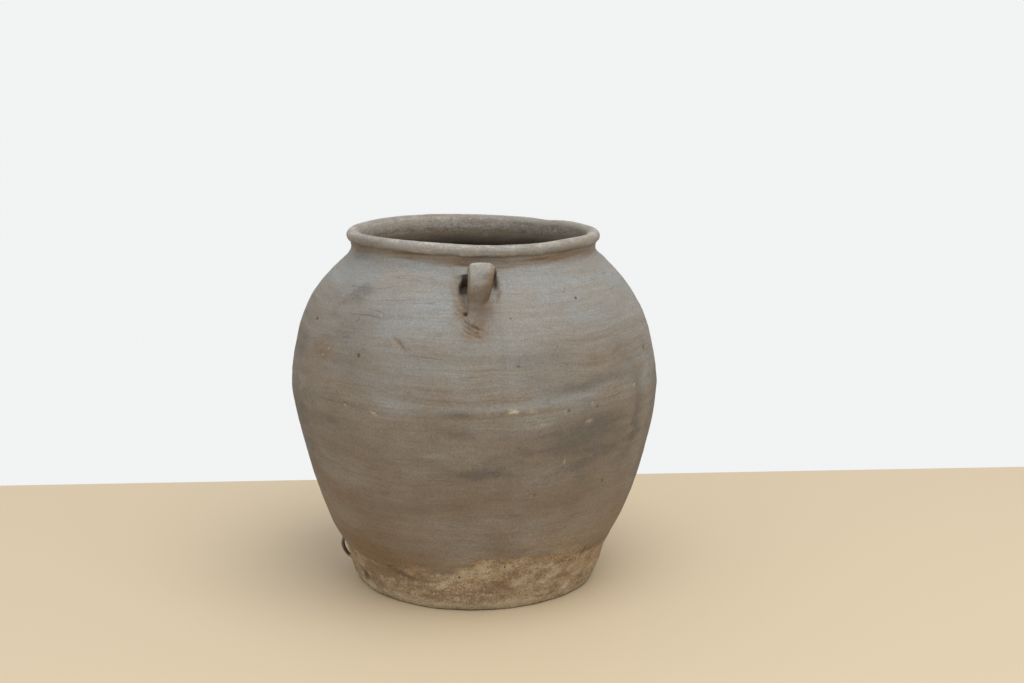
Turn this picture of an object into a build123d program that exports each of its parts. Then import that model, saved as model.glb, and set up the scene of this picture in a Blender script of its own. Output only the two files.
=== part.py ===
from build123d import *
import os
from math import cos, radians, sin

# Hand-built earthenware olla: a wide storage jar with a rolled rim and strap lugs.
# It is built as a potter builds it, from clay members that are luted together:
# a floor slab, a lower and an upper wall that meet at the belly under a luting
# strip, a coil pressed into the floor corner, a rolled rim and three strap lugs.
# Lengths are millimetres, angles are degrees, +Z is up and the front lug faces -Y.

# Outline of the wall, as radius and height
height = 350.0
foot_radius = 120.5
kick_flare = 13.5
kick_height = 41.0
belly_radius = 180.0
belt_height = 207.0
neck_radius = 121.0
neck_length = 24.0
lower_bulge = 9.8
shoulder_bulge = 16.2
kick_blend = 60.0
neck_blend = 12.0

# Wall, floor and the bevelled joints between the clay members
wall = 9.0
floor_thickness = 12.0
slab_edge = 8.0
belt_scarf = 4.0
tongue_bevel = 3.0

# Luting strip round the belt and the coil in the floor corner
strip_height = 20.0
strip_proud = 1.2
strip_seat = 1.6
coil_leg = 15.0
coil_hollow = 3.0

# Rolled rim
roll_thickness = 13.0
roll_overhang = 3.0

# Shoulder lugs: one in front and its pair behind
front_azimuth = -90.0
rear_azimuth = 90.0
lug_span = 39.0
lug_reach = 18.0
lug_width = 22.0
lug_thickness = 7.5
lug_tongue = 24.0

# Small tipping lug, low on the left and turned a little to the back
low_azimuth = 172.0
low_top = 36.5
low_span = 23.0
low_reach = 7.0
low_width = 12.0
low_thickness = 3.5
low_tongue = 4.0

kick = (foot_radius + kick_flare, kick_height)
belt = (belly_radius, belt_height)
shoulder_top = (neck_radius, height - neck_length)
roll_radius = neck_radius + roll_overhang - roll_thickness / 2
roll_centre = height - roll_thickness / 2
tongue_top = (neck_radius, roll_centre)
beyond = 2 * belly_radius

# Outer outline, from the resting edge up to the tongue that the rim roll saddles
with BuildLine() as outline:
    foot_line = Line((foot_radius, 0), kick)
    lower_curve = SagittaArc(kick, belt, -lower_bulge)
    shoulder_curve = SagittaArc(belt, shoulder_top, -shoulder_bulge)
    neck_line = Line(shoulder_top, tongue_top)
    fillet(outline.vertices().sort_by_distance(kick)[0], radius=kick_blend)
    fillet(outline.vertices().sort_by_distance(shoulder_top)[0], radius=neck_blend)

with BuildSketch(Plane.XZ) as form_section:
    with BuildLine():
        add(outline.line)
        Polyline(tongue_top, (0, roll_centre), (0, 0), (foot_radius, 0))
    make_face()

# The filled form of the jar, which the lugs are fitted against
with BuildPart() as jar_form:
    add(form_section.sketch)
    revolve(axis=Axis.Z)


def under_joint(outer, climb):
    """Region of the section under a bevelled joint that climbs from its outer point towards the axis."""
    slope = climb / wall
    with BuildSketch(Plane.XZ) as region:
        with BuildLine():
            Polyline(
                (0, -beyond),
                (beyond, -beyond),
                (beyond, outer.Y - slope * (beyond - outer.X)),
                (0, outer.Y + slope * outer.X),
                close=True,
            )
        make_face()
    return region


under_slab_joint = under_joint(foot_line @ (slab_edge / kick_height), floor_thickness - slab_edge)
under_belt_joint = under_joint(lower_curve @ 1, belt_scarf)

# Wall of even thickness inside the outline, with its top edge bevelled to a tongue
with BuildSketch(Plane.XZ) as wall_section:
    with BuildLine():
        add(outline.line)
        offset(amount=wall, side=Side.LEFT)
    make_face()
    chamfer(wall_section.vertices().group_by(Axis.Y)[-1], length=tongue_bevel)

# Floor slab, flat above and below, its edge bevelled where the lower wall stands on it
with BuildSketch(Plane.XZ) as slab_section:
    add(form_section)
    add(under_slab_joint, mode=Mode.INTERSECT)
    with Locations((0, floor_thickness)):
        Rectangle(beyond, beyond, align=(Align.MIN, Align.MIN), mode=Mode.SUBTRACT)

# Luting strip, let into both walls over the belly joint and feathered at its edges
strip_low = lower_curve.position_at(lower_curve.length - strip_height / 2, PositionMode.LENGTH)
strip_high = shoulder_curve.position_at(strip_height / 2, PositionMode.LENGTH)
with BuildSketch(Plane.XZ) as strip_section:
    with BuildLine():
        ThreePointArc(strip_low, (belly_radius + strip_proud, belt_height), strip_high)
        Polyline(
            strip_high,
            (strip_high.X - strip_seat, strip_high.Y),
            (belly_radius - strip_seat, belt_height),
            (strip_low.X - strip_seat, strip_low.Y),
            strip_low,
        )
    make_face()

# Coil pressed into the floor corner, hollowed by a thumb
coil_foot = (foot_radius - wall - coil_leg, floor_thickness)
coil_head = (foot_radius - wall / 2, floor_thickness + coil_leg)
with BuildSketch(Plane.XZ) as coil_section:
    with BuildLine():
        SagittaArc(coil_foot, coil_head, -coil_hollow)
        Polyline(coil_head, (foot_radius, floor_thickness), coil_foot)
    make_face()
    add(wall_section, mode=Mode.SUBTRACT)
    add(slab_section, mode=Mode.SUBTRACT)

with BuildPart() as base_slab:
    add(slab_section.sketch)
    revolve(axis=Axis.Z)

with BuildPart() as corner_coil:
    add(coil_section.sketch)
    revolve(axis=Axis.Z)

with BuildPart() as lower_wall:
    with BuildSketch(Plane.XZ):
        add(wall_section)
        add(under_belt_joint, mode=Mode.INTERSECT)
        add(under_slab_joint, mode=Mode.SUBTRACT)
        add(strip_section, mode=Mode.SUBTRACT)
    revolve(axis=Axis.Z)

with BuildPart() as upper_wall:
    with BuildSketch(Plane.XZ):
        add(wall_section)
        add(under_belt_joint, mode=Mode.SUBTRACT)
        add(strip_section, mode=Mode.SUBTRACT)
    revolve(axis=Axis.Z)

with BuildPart() as belt_strip:
    add(strip_section.sketch)
    revolve(axis=Axis.Z)

# The roll saddles the tongue at the top of the neck
with BuildPart() as rim_roll:
    with BuildSketch(Plane.XZ):
        with Locations((roll_radius, roll_centre)):
            Circle(roll_thickness / 2)
        add(wall_section, mode=Mode.SUBTRACT)
    revolve(axis=Axis.Z)


def strap_lug(azimuth, seats, reach, width, thickness):
    """Strap of clay that springs from the wall, arches out and is pressed down again as a tongue.

    The seats are four points of the section: where the strap springs, where it lands,
    and the middle and the end of the tongue. The strap is trimmed to the jar's form.
    """
    spring, landing, tongue, tip = seats
    outward = Vector(cos(radians(azimuth)), sin(radians(azimuth)), 0)
    radial = Plane(origin=(0, 0, 0), x_dir=outward, z_dir=outward.cross(Vector(0, 0, 1)))
    down = landing - spring
    away = Vector(-down.Y, down.X).normalized()
    route = (
        spring - away * (0.7 * thickness),
        spring + down * 0.10 + away * (0.62 * reach),
        spring + down * 0.42 + away * reach,
        spring + down * 0.78 + away * (0.72 * reach),
        landing + away * (0.30 * thickness),
        tongue + away * (0.10 * thickness),
        tip - away * (0.15 * thickness),
    )
    with BuildLine():
        strap = Spline(*[radial.from_local_coords(point) for point in route])
    # Place along the strap, then its width and its thickness there against the middle
    stations = (
        (0.0, 1.5, 1.2),
        (0.16, 1.15, 1.05),
        (0.35, 1.0, 1.0),
        (0.55, 0.95, 0.95),
        (0.72, 1.0, 0.9),
        (0.86, 0.95, 0.7),
        (1.0, 0.7, 0.4),
    )
    with BuildPart() as lug:
        for place, spread, depth in stations:
            with BuildSketch(Plane(origin=strap @ place, x_dir=radial.z_dir, z_dir=strap % place)):
                RectangleRounded(width * spread, thickness * depth, 0.42 * thickness * depth)
        loft()
        add(jar_form.part, mode=Mode.SUBTRACT)
    return lug


def seats_along(curve, places):
    """Points of the section at the given lengths along a curve of the outline."""
    return [curve.position_at(place, PositionMode.LENGTH) for place in places]


landing_place = shoulder_curve.length - lug_span
shoulder_seats = seats_along(
    shoulder_curve,
    (shoulder_curve.length, landing_place, landing_place - lug_tongue / 2, landing_place - lug_tongue),
)
front_lug = strap_lug(front_azimuth, shoulder_seats, lug_reach, lug_width, lug_thickness)
rear_lug = strap_lug(rear_azimuth, shoulder_seats, lug_reach, lug_width, lug_thickness)

low_landing = low_top - low_span
low_seats = seats_along(foot_line, (low_top, low_landing, low_landing - low_tongue / 2, low_landing - low_tongue))
low_lug = strap_lug(low_azimuth, low_seats, low_reach, low_width, low_thickness)

os.makedirs("parts", exist_ok=True)

base_slab.part.label = "base_slab"
export_step(base_slab.part, "parts/base_slab.step")

corner_coil.part.label = "corner_coil"
export_step(corner_coil.part, "parts/corner_coil.step")

lower_wall.part.label = "lower_wall"
export_step(lower_wall.part, "parts/lower_wall.step")

upper_wall.part.label = "upper_wall"
export_step(upper_wall.part, "parts/upper_wall.step")

belt_strip.part.label = "belt_strip"
export_step(belt_strip.part, "parts/belt_strip.step")

rim_roll.part.label = "rim_roll"
export_step(rim_roll.part, "parts/rim_roll.step")

front_lug.part.label = "front_lug"
export_step(front_lug.part, "parts/front_lug.step")

rear_lug.part.label = "rear_lug"
export_step(rear_lug.part, "parts/rear_lug.step")

low_lug.part.label = "low_lug"
export_step(low_lug.part, "parts/low_lug.step")
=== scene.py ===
"""Hand-built earthenware olla: the jar's worn skin, its finishes, the light and the camera.

Lengths are millimetres and angles are degrees unless a name says otherwise. An azimuth is
measured from the front of the jar and grows to the right as the camera sees it. A profile is
a bell, given by its centre and spread, or a band, given by its start, full, hold and end.
"""

import logging
import math
from dataclasses import dataclass, field
from enum import Enum
from itertools import product

import bpy
import numpy as np
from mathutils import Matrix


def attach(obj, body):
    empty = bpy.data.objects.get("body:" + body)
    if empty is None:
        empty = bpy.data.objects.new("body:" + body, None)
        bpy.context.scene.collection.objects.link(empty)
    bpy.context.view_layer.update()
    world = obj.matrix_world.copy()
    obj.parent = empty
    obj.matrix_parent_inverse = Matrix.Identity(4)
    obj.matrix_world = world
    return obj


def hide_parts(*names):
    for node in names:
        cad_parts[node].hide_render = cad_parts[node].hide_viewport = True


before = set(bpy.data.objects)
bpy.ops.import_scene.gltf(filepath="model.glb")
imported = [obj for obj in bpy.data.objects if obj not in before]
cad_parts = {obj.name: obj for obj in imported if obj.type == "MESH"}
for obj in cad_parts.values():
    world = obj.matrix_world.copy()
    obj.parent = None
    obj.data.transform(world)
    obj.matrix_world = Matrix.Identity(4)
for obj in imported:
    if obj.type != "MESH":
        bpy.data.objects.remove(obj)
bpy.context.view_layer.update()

log = logging.getLogger("olla")

METRE = 0.001
FULL_TURN = 360.0
LUG_SIDES = (0.0, 180.0)
Array = np.ndarray
Colour = tuple[float, float, float]
Profile = tuple[float, ...]


def srgb(red: int, green: int, blue: int) -> Colour:
    """Turns a colour as seen on a screen into linear light.

    Args:
        red: Red from 0 to 255.
        green: Green from 0 to 255.
        blue: Blue from 0 to 255.

    Returns:
        The same colour as three linear values from 0 to 1.
    """
    linear = []
    for level in (red, green, blue):
        share = level / 255
        linear.append(share / 12.92 if share <= 0.04045 else ((share + 0.055) / 1.055) ** 2.4)
    return tuple(linear)


def ease(low: float | Array, high: float | Array, value: Array) -> Array:
    """Rises smoothly from 0 to 1 as the value goes from low to high."""
    share = np.clip((value - low) / (high - low), 0.0, 1.0)
    return share * share * (3.0 - 2.0 * share)


def hump(value: Array, centre: float | Array, spread: float) -> Array:
    """A bell of height 1 round a centre."""
    return np.exp(-(((value - centre) / spread) ** 2))


def band(value: Array, start: float, full: float, hold: float, end: float) -> Array:
    """Rises from 0 at start to 1 at full, stays there up to hold and falls to 0 at end."""
    return ease(start, full, value) * (1.0 - ease(hold, end, value))


def profiled(value: Array, profile: Profile) -> Array:
    """Share of a profile at each value: a bell for two numbers and a band for four."""
    return hump(value, *profile) if len(profile) == 2 else band(value, *profile)


def apart(azimuth: Array, centre: float) -> Array:
    """Azimuths counted from a centre, from -180 to 180."""
    return (azimuth - centre + FULL_TURN / 2) % FULL_TURN - FULL_TURN / 2


def bells_round(seen: Array, bells: tuple[tuple[float, float, float], ...]) -> Array:
    """Sum of bells round the jar, each given by its height, azimuth and spread."""
    return sum(rise * hump(apart(seen, centre), 0.0, spread) for rise, centre, spread in bells)


def turned(azimuth: Array, radius: float | Array, height: float | Array) -> Array:
    """Points in space, one row each, from azimuth, radius and height."""
    angle = np.radians(azimuth)
    return np.stack((radius * np.sin(angle), -radius * np.cos(angle), height + 0.0 * angle), axis=-1)


def grid(ring: Array, rows: Array) -> tuple[Array, Array]:
    """The azimuths of a ring once for each row, and the row's value at each of them."""
    return np.tile(ring, len(rows)), np.repeat(rows, len(ring))


class Layer(Enum):
    """What is painted on the clay, each as a value from 0 to 1 at every point."""

    ASH = "ash"
    # Smoky clouds from the firing, and also painted shade deep inside the jar and on its left side
    SMOKE = "smoke"
    RUST = "rust"
    # Pale deposits, and also painted highlights and painted light on lit faces
    LIME_AND_LIGHT = "lime"
    RAW = "raw"
    # Dark dirt, and also painted shade in hollows, slits, creases and crevices and a painted contact shadow
    # at the foot
    GRIME_AND_SHADE = "grime"


Paint = dict[Layer, Array]


def bare_paint(count: int, **values: float) -> Paint:
    """Layers with the same value at every point, 0 for those that are not named."""
    return {layer: np.full(count, values.get(layer.value, 0.0)) for layer in Layer}


def clipped(paint: Paint) -> Paint:
    """The layers, each held between 0 and 1."""
    return {layer: np.clip(values, 0.0, 1.0) for layer, values in paint.items()}


class MarkKind(Enum):
    """Kinds of small marks that firing, use and handling left on the wall."""

    PIT = "pit"
    CHIP = "chip"
    GOUGE = "gouge"
    SCRATCH = "scratch"
    SPECK = "speck"
    RUST_STAIN = "rust_stain"
    SMOKE_CLOUD = "smoke_cloud"
    ASH_BLOOM = "ash_bloom"
    LIME_PATCH = "lime_patch"
    GRIME_PATCH = "grime_patch"
    BARE_PATCH = "bare_patch"


# Layer that each small mark adds to, and how much of it
HARD_MARKS = {
    MarkKind.PIT: (Layer.GRIME_AND_SHADE, 1.0),
    MarkKind.SCRATCH: (Layer.GRIME_AND_SHADE, 0.6),
    MarkKind.CHIP: (Layer.LIME_AND_LIGHT, 1.0),
    MarkKind.SPECK: (Layer.RUST, 1.2),
}
# Layer that each soft stain or cloud adds to
SOFT_MARKS = {
    MarkKind.RUST_STAIN: Layer.RUST,
    MarkKind.SMOKE_CLOUD: Layer.SMOKE,
    MarkKind.ASH_BLOOM: Layer.ASH,
    MarkKind.LIME_PATCH: Layer.LIME_AND_LIGHT,
    MarkKind.GRIME_PATCH: Layer.GRIME_AND_SHADE,
    MarkKind.BARE_PATCH: Layer.RAW,
}

# Marks that can be told apart on the side that is seen, in the order of the fields of a mark
PLACED_MARKS = {
    MarkKind.PIT: (
        (-65, 274, 5, 3.5, 20, 0.9, 0.8),
        (-38, 252, 4.5, 3.5, 0, 0.9, 0.8),
        (27, 205, 4, 2.6, 0, 0.8, 0.5),
        (37, 204.5, 4, 2.6, 0, 0.8, 0.5),
        (38, 300, 3.6, 3, 0, 0.9, 0.6),
        (34, 306, 3, 2.4, 0, 0.6, 0.4),
        (35.5, 308.5, 2.6, 2.4, 0, 0.5, 0.3),
        (11, 288, 3, 2.4, 0, 0.6, 0.4),
        (12, 248, 3, 2.6, 0, 0.6, 0.4),
        (67, 244, 5, 3.6, 0, 0.8, 0.5),
        (18, 127, 4, 3, 0, 0.6, 0.3),
        (44, 128, 4, 5, 0, 0.6, 0.3),
        (10.5, 49, 2.6, 2.2, 0, 0.9, 0.4),
        (14, 48.5, 2.6, 2.2, 0, 0.9, 0.4),
        (-7.5, 38, 3, 2.6, 0, 0.9, 0.5),
        (48, 52, 3.4, 2.6, 0, 0.8, 0.4),
    ),
    MarkKind.CHIP: (
        (-54.5, 246, 4, 2.5, 0, 0.7, 0.4),
        (-52, 253, 4, 2.5, 30, 0.6, 0.4),
        (-51, 306, 11, 2.2, 18, 0.4, 0.2),
        (-33, 287.5, 5, 2, -20, 0.35, 0.3),
        (-18, 219.5, 8, 2, -12, 0.3, 0.2),
        (-31, 202.5, 9, 2.6, -25, 0.75, 0.5),
        (-41.5, 206, 7, 1.8, -10, 0.6, 0.4),
        (10, 208.5, 13, 4.6, -3, 0.75, 0.3),
        (15.5, 207.6, 16, 4, 0, 0.38, 0.2),
        (25.8, 204, 5, 2.2, 85, 0.55, 0.3),
        (35.5, 208, 5, 3, 70, 0.55, 0.4),
        (55, 215, 4, 2.4, 0, 0.6, 0.3),
        (19, 194.6, 7, 2.6, 6, 0.3, 0.2),
        (34.5, 192, 11, 4.2, 8, 0.62, 0.4),
        (20, 199.5, 46, 1.8, 2, 0.22, 0.15),
        (44, 213, 44, 1.8, 9, 0.22, 0.15),
        (10.5, 316, 3.2, 2.2, 60, 0.5),
        (10.5, 275, 2.8, 2.2, 0, 0.5),
        (26.8, 157, 7, 2.2, 80, 0.6, 0.2),
    ),
    MarkKind.GOUGE: ((-24, 264.5, 19, 6, -42, 1.0, 1.2),),
    MarkKind.SCRATCH: (
        (-69, 279, 16, 1.6, 145, 0.5, 0.3),
        (-41.5, 283, 8, 2, 75, 0.8, 0.4),
        (-25.5, 286.5, 15, 1.6, -52, 0.5, 0.3),
        (-22.5, 284, 10, 1.4, -55, 0.35, 0.3),
        (-47, 310, 9, 1.5, 30, 0.5, 0.3),
        (-35, 275, 32, 1.2, 3, 0.3, 0.2),
        (2, 145, 52, 1.8, 1, 0.55, 0.35),
        (-44, 73.5, 80, 2.2, -5, 0.45, 0.35),
    ),
    MarkKind.SPECK: (
        (-20, 224, 10, 2, -25, 0.7),
        (-16, 221, 7, 1.8, -10, 0.6),
        (27, 247, 10, 2, -24, 0.7),
    ),
    MarkKind.RUST_STAIN: (
        (-55, 251, 40, 20, 0, 0.75),
        (-41, 222, 50, 12, -6, 0.55),
        (-64, 228, 40, 16, 0, 0.4),
        (2.5, 256, 70, 20, 90, 0.22),
        (48, 251, 22, 6, 22, 0.55),
        (61, 231, 22, 14, 0, 0.5),
        (48.5, 234, 16, 8, 0, 0.5),
        (-62, 118, 60, 26, -12, 0.4),
        (-56, 61, 90, 14, -5, 0.7),
        (-42, 50, 60, 9, -4, 0.5),
        (44, 46, 60, 9, 6, 0.7),
        (10, 24, 34, 14, 4, 0.45),
        (-44, 37, 46, 22, -10, 0.9),
    ),
    # The clouds at -76 and -75 darken the jar's left edge as painted shade; the others are clouds of the
    # firing
    MarkKind.SMOKE_CLOUD: (
        (-44, 305, 34, 14, 8, 0.5),
        (-75, 262, 50, 60, 0, 0.3),
        (-47, 276, 70, 36, 0, 0.2),
        (-5, 206, 26, 6, 0, 0.6),
        (7.6, 254, 70, 6, 90, 0.1),
        (33, 226, 66, 12, 5, 0.6),
        (18, 252, 60, 14, 0, 0.3),
        (33, 178, 100, 40, 0, 0.52),
        (-56, 140, 50, 30, 0, 0.22),
        (-70, 115, 40, 40, 0, 0.42),
        (24, 141, 40, 16, 5, 0.2),
        (44, 150, 70, 24, 10, 0.38),
        (78, 150, 60, 120, 0, 0.45),
        (57, 190, 16, 50, 0, 0.6),
        (-6, 188, 22, 9, 0, 0.55),
        (-2, 150, 46, 9, 0, 0.6),
        (8, 165, 40, 12, 8, 0.3),
        (-76, 185, 60, 90, 0, 0.6),
        (-50, 188, 70, 12, 0, 0.35),
    ),
    MarkKind.ASH_BLOOM: (
        (-24, 211, 46, 12, -4, 0.55),
        (26, 217, 110, 9, 4, 0.5),
        (19.5, 195, 13, 5, 6, 0.6),
        (11, 266, 80, 14, 89, 0.25),
        (65, 220, 52, 28, 10, 0.4),
        (20, 199, 100, 30, 0, 0.4),
        (17, 82, 130, 50, 0, 0.42),
        (-12, 168, 18, 10, 0, 0.35),
    ),
    MarkKind.LIME_PATCH: (
        (-20, 26, 22, 9, -6, 0.4),
        (-12, 33, 22, 13, 10, 0.6),
        (-6.5, 38.5, 16, 7, 12, 0.75),
        (0.5, 48, 9, 13, -10, 0.8),
        (3, 38, 10, 16, -30, 0.45),
        (12.5, 49, 19, 9, 0, 0.7),
        (22.5, 44, 12, 8, 0, 0.6),
        (21, 32, 22, 9, 0, 0.55),
        (-9, 13, 30, 8, 0, 0.5),
        (30, 27, 30, 5, 16, 0.6),
        (34, 38, 16, 9, -30, 0.62),
        (19, 10, 44, 8, 3, 0.35),
        (42, 14, 14, 5, 20, 0.8),
        (-62, 17, 7, 6, 0, 0.9),
        (-57, 9, 14, 7, 24, 0.7),
    ),
    MarkKind.GRIME_PATCH: (
        (-33, 35, 24, 6, -14, 0.45),
        (-28, 31, 18, 5, -16, 0.4),
        (9, 27, 26, 8, 6, 0.25),
        (50, 16, 26, 9, 16, 0.25),
        # Painted shade beside the pit with pale deposits at -62
        (-58, 19, 10, 7, 0, 0.7),
        (-40, 21, 32, 8, -8, 0.16),
        (-47, 36, 46, 12, -6, 0.18),
    ),
    MarkKind.BARE_PATCH: (
        (34, 72, 150, 56, 0, 0.45),
        (-17, 53, 64, 22, 0, 0.42),
    ),
}


@dataclass(frozen=True)
class Mark:
    """One mark on the outside of the wall.

    A mark lies at an azimuth and a height. Its length runs level and turns up to the right.
    """

    kind: MarkKind
    azimuth: float
    height: float
    length: float
    width: float
    turn: float
    strength: float
    depth: float = 0.0


class ClayNoise:
    """Seeded smooth noise in space, from about -1 to 1."""

    CORNERS = tuple(product((0, 1), repeat=3))
    SPAN = 256
    GAIN = 1.6

    def __init__(self, seed: int) -> None:
        """Lays out the slopes of one noise field.

        Args:
            seed: Seed of the field.
        """
        rng = np.random.default_rng(seed)
        self._order = np.tile(rng.permutation(self.SPAN), 3)
        slopes = rng.normal(size=(self.SPAN, 3))
        self._slopes = slopes / np.linalg.norm(slopes, axis=1, keepdims=True)

    def at(self, points: Array, size: float | tuple[float, float, float]) -> Array:
        """Reads the noise.

        Args:
            points: Points, one row each.
            size: Size of one swell, or its size along X, Y and Z.

        Returns:
            One value for each point.
        """
        spot = points / np.asarray(size)
        cell = np.floor(spot).astype(np.int64)
        part = spot - cell
        blend = part**3 * (part * (part * 6.0 - 15.0) + 10.0)
        total = np.zeros(len(points))
        for corner in self.CORNERS:
            near = (cell + corner) & (self.SPAN - 1)
            key = self._order[self._order[self._order[near[:, 0]] + near[:, 1]] + near[:, 2]]
            lean = np.einsum("ij,ij->i", self._slopes[key], part - corner)
            total += lean * np.prod(np.where(corner, blend, 1.0 - blend), axis=1)
        return self.GAIN * total


@dataclass(frozen=True)
class JarSizes:
    """Sizes of the jar's section, the same as those of its solids."""

    height: float = 350.0
    foot_radius: float = 120.5
    kick_flare: float = 13.5
    kick_height: float = 41.0
    belly_radius: float = 180.0
    belt_height: float = 207.0
    neck_radius: float = 121.0
    neck_length: float = 24.0
    lower_bulge: float = 9.8
    shoulder_bulge: float = 16.2
    wall: float = 9.0
    floor_thickness: float = 12.0
    slab_edge: float = 8.0
    roll_thickness: float = 13.0
    roll_overhang: float = 3.0

    @property
    def shoulder_height(self) -> float:
        """Height at which the shoulder meets the neck."""
        return self.height - self.neck_length

    @property
    def tongue_top(self) -> float:
        """Height at which the wall ends inside the rolled rim."""
        return self.height - self.roll_thickness / 2


@dataclass(frozen=True)
class Arc:
    """Part of a circle in the jar's section."""

    centre_radius: float
    centre_height: float
    size: float

    @classmethod
    def bulging(cls, start: tuple[float, float], end: tuple[float, float], bulge: float) -> "Arc":
        """Finds the arc between two points of the section that bulges away from the axis.

        Args:
            start: Radius and height of the lower end.
            end: Radius and height of the upper end.
            bulge: How far the middle of the arc stands out from the chord.

        Returns:
            The arc.
        """
        run = end[0] - start[0]
        rise = end[1] - start[1]
        chord = math.hypot(run, rise)
        size = (chord**2 / 4 + bulge**2) / (2 * bulge)
        inward = size - bulge
        middle = ((start[0] + end[0]) / 2, (start[1] + end[1]) / 2)
        return cls(middle[0] - inward * rise / chord, middle[1] + inward * run / chord, size)

    def radius(self, height: Array) -> Array:
        """Radius of the section at a height."""
        reach = np.clip(self.size**2 - (height - self.centre_height) ** 2, 0.0, None)
        return self.centre_radius + np.sqrt(reach)


class JarForm:
    """The jar's section and the places on its surface."""

    STEP = 0.25
    MARGIN = 30.0
    # Spread of the softening at the kick and at the neck, and where each is at work
    KICK_SOFTNESS = 5.0
    KICK_REACH = 16.0
    NECK_SOFTNESS = 4.0
    NECK_REACH = (16.0, 6.0)

    def __init__(self, sizes: JarSizes) -> None:
        """Works out the outline once, with soft corners at the kick and the neck.

        Args:
            sizes: Sizes of the section.
        """
        self.sizes = sizes
        kick = (sizes.foot_radius + sizes.kick_flare, sizes.kick_height)
        belt = (sizes.belly_radius, sizes.belt_height)
        neck = sizes.shoulder_height
        lower_arc = Arc.bulging(kick, belt, sizes.lower_bulge)
        self.shoulder_arc = Arc.bulging(belt, (sizes.neck_radius, neck), sizes.shoulder_bulge)
        height = np.arange(-self.MARGIN, sizes.height + self.MARGIN, self.STEP)
        foot = sizes.foot_radius + sizes.kick_flare * height / sizes.kick_height
        sharp = np.select(
            [height < sizes.kick_height, height < sizes.belt_height, height < neck],
            [foot, lower_arc.radius(height), self.shoulder_arc.radius(height)],
            sizes.neck_radius,
        )
        near_kick = hump(height, sizes.kick_height, self.KICK_REACH)
        near_neck = ease(neck - self.NECK_REACH[0], neck - self.NECK_REACH[1], height)
        outline = sharp + near_kick * (self._soften(sharp, self.KICK_SOFTNESS) - sharp)
        outline += near_neck * (self._soften(sharp, self.NECK_SOFTNESS) - sharp)
        self._height = height
        self._radius = outline
        self._slope = np.gradient(outline, height)
        self._length = np.cumsum(np.hypot(1.0, self._slope) * self.STEP)

    def _soften(self, values: Array, spread: float) -> Array:
        """Averages a row of values over a bell.

        Args:
            values: Values at even steps.
            spread: Spread of the bell.

        Returns:
            The softened values.
        """
        reach = int(3 * spread / self.STEP)
        offsets = np.arange(-reach, reach + 1) * self.STEP
        bell = np.exp(-0.5 * (offsets / spread) ** 2)
        padded = np.pad(values, reach, mode="edge")
        return np.convolve(padded, bell / bell.sum(), mode="valid")

    def radius(self, height: float | Array) -> float | Array:
        """Radius of the outline at a height."""
        return np.interp(height, self._height, self._radius)

    def slope(self, height: float | Array) -> float | Array:
        """Change of radius with height."""
        return np.interp(height, self._height, self._slope)

    def heights_between(self, low: float, high: float, pitch: float) -> Array:
        """Heights that lie evenly along the wall.

        Args:
            low: First height.
            high: Last height.
            pitch: Distance between them along the wall.

        Returns:
            The heights, with both ends.
        """
        start, end = np.interp((low, high), self._height, self._length)
        count = max(2, int(round((end - start) / pitch)) + 1)
        return np.interp(np.linspace(start, end, count), self._length, self._height)

    def shoulder_seat(self, place: float) -> Array:
        """Finds a seat on the shoulder.

        Args:
            place: Distance down from where the shoulder meets the neck.

        Returns:
            Its radius and height.
        """
        arc = self.shoulder_arc
        rise = self.sizes.shoulder_height - arc.centre_height
        run = self.sizes.neck_radius - arc.centre_radius
        angle = math.atan2(rise, run) - place / arc.size
        reach = np.array((math.cos(angle), math.sin(angle))) * arc.size
        return np.array((arc.centre_radius, arc.centre_height)) + reach

    def foot_seat(self, place: float) -> Array:
        """Radius and height on the foot, at a distance up from the floor."""
        along = np.array((self.sizes.kick_flare, self.sizes.kick_height))
        return np.array((self.sizes.foot_radius, 0.0)) + along / np.linalg.norm(along) * place


@dataclass(frozen=True)
class Spots:
    """Places on the outside of the wall, with what is read there more than once."""

    azimuth: Array
    height: Array
    # Azimuths from the side that is seen
    seen: Array
    # Points on the plain outline
    points: Array
    # Fine noise that frays edges
    wobble: Array


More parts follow.
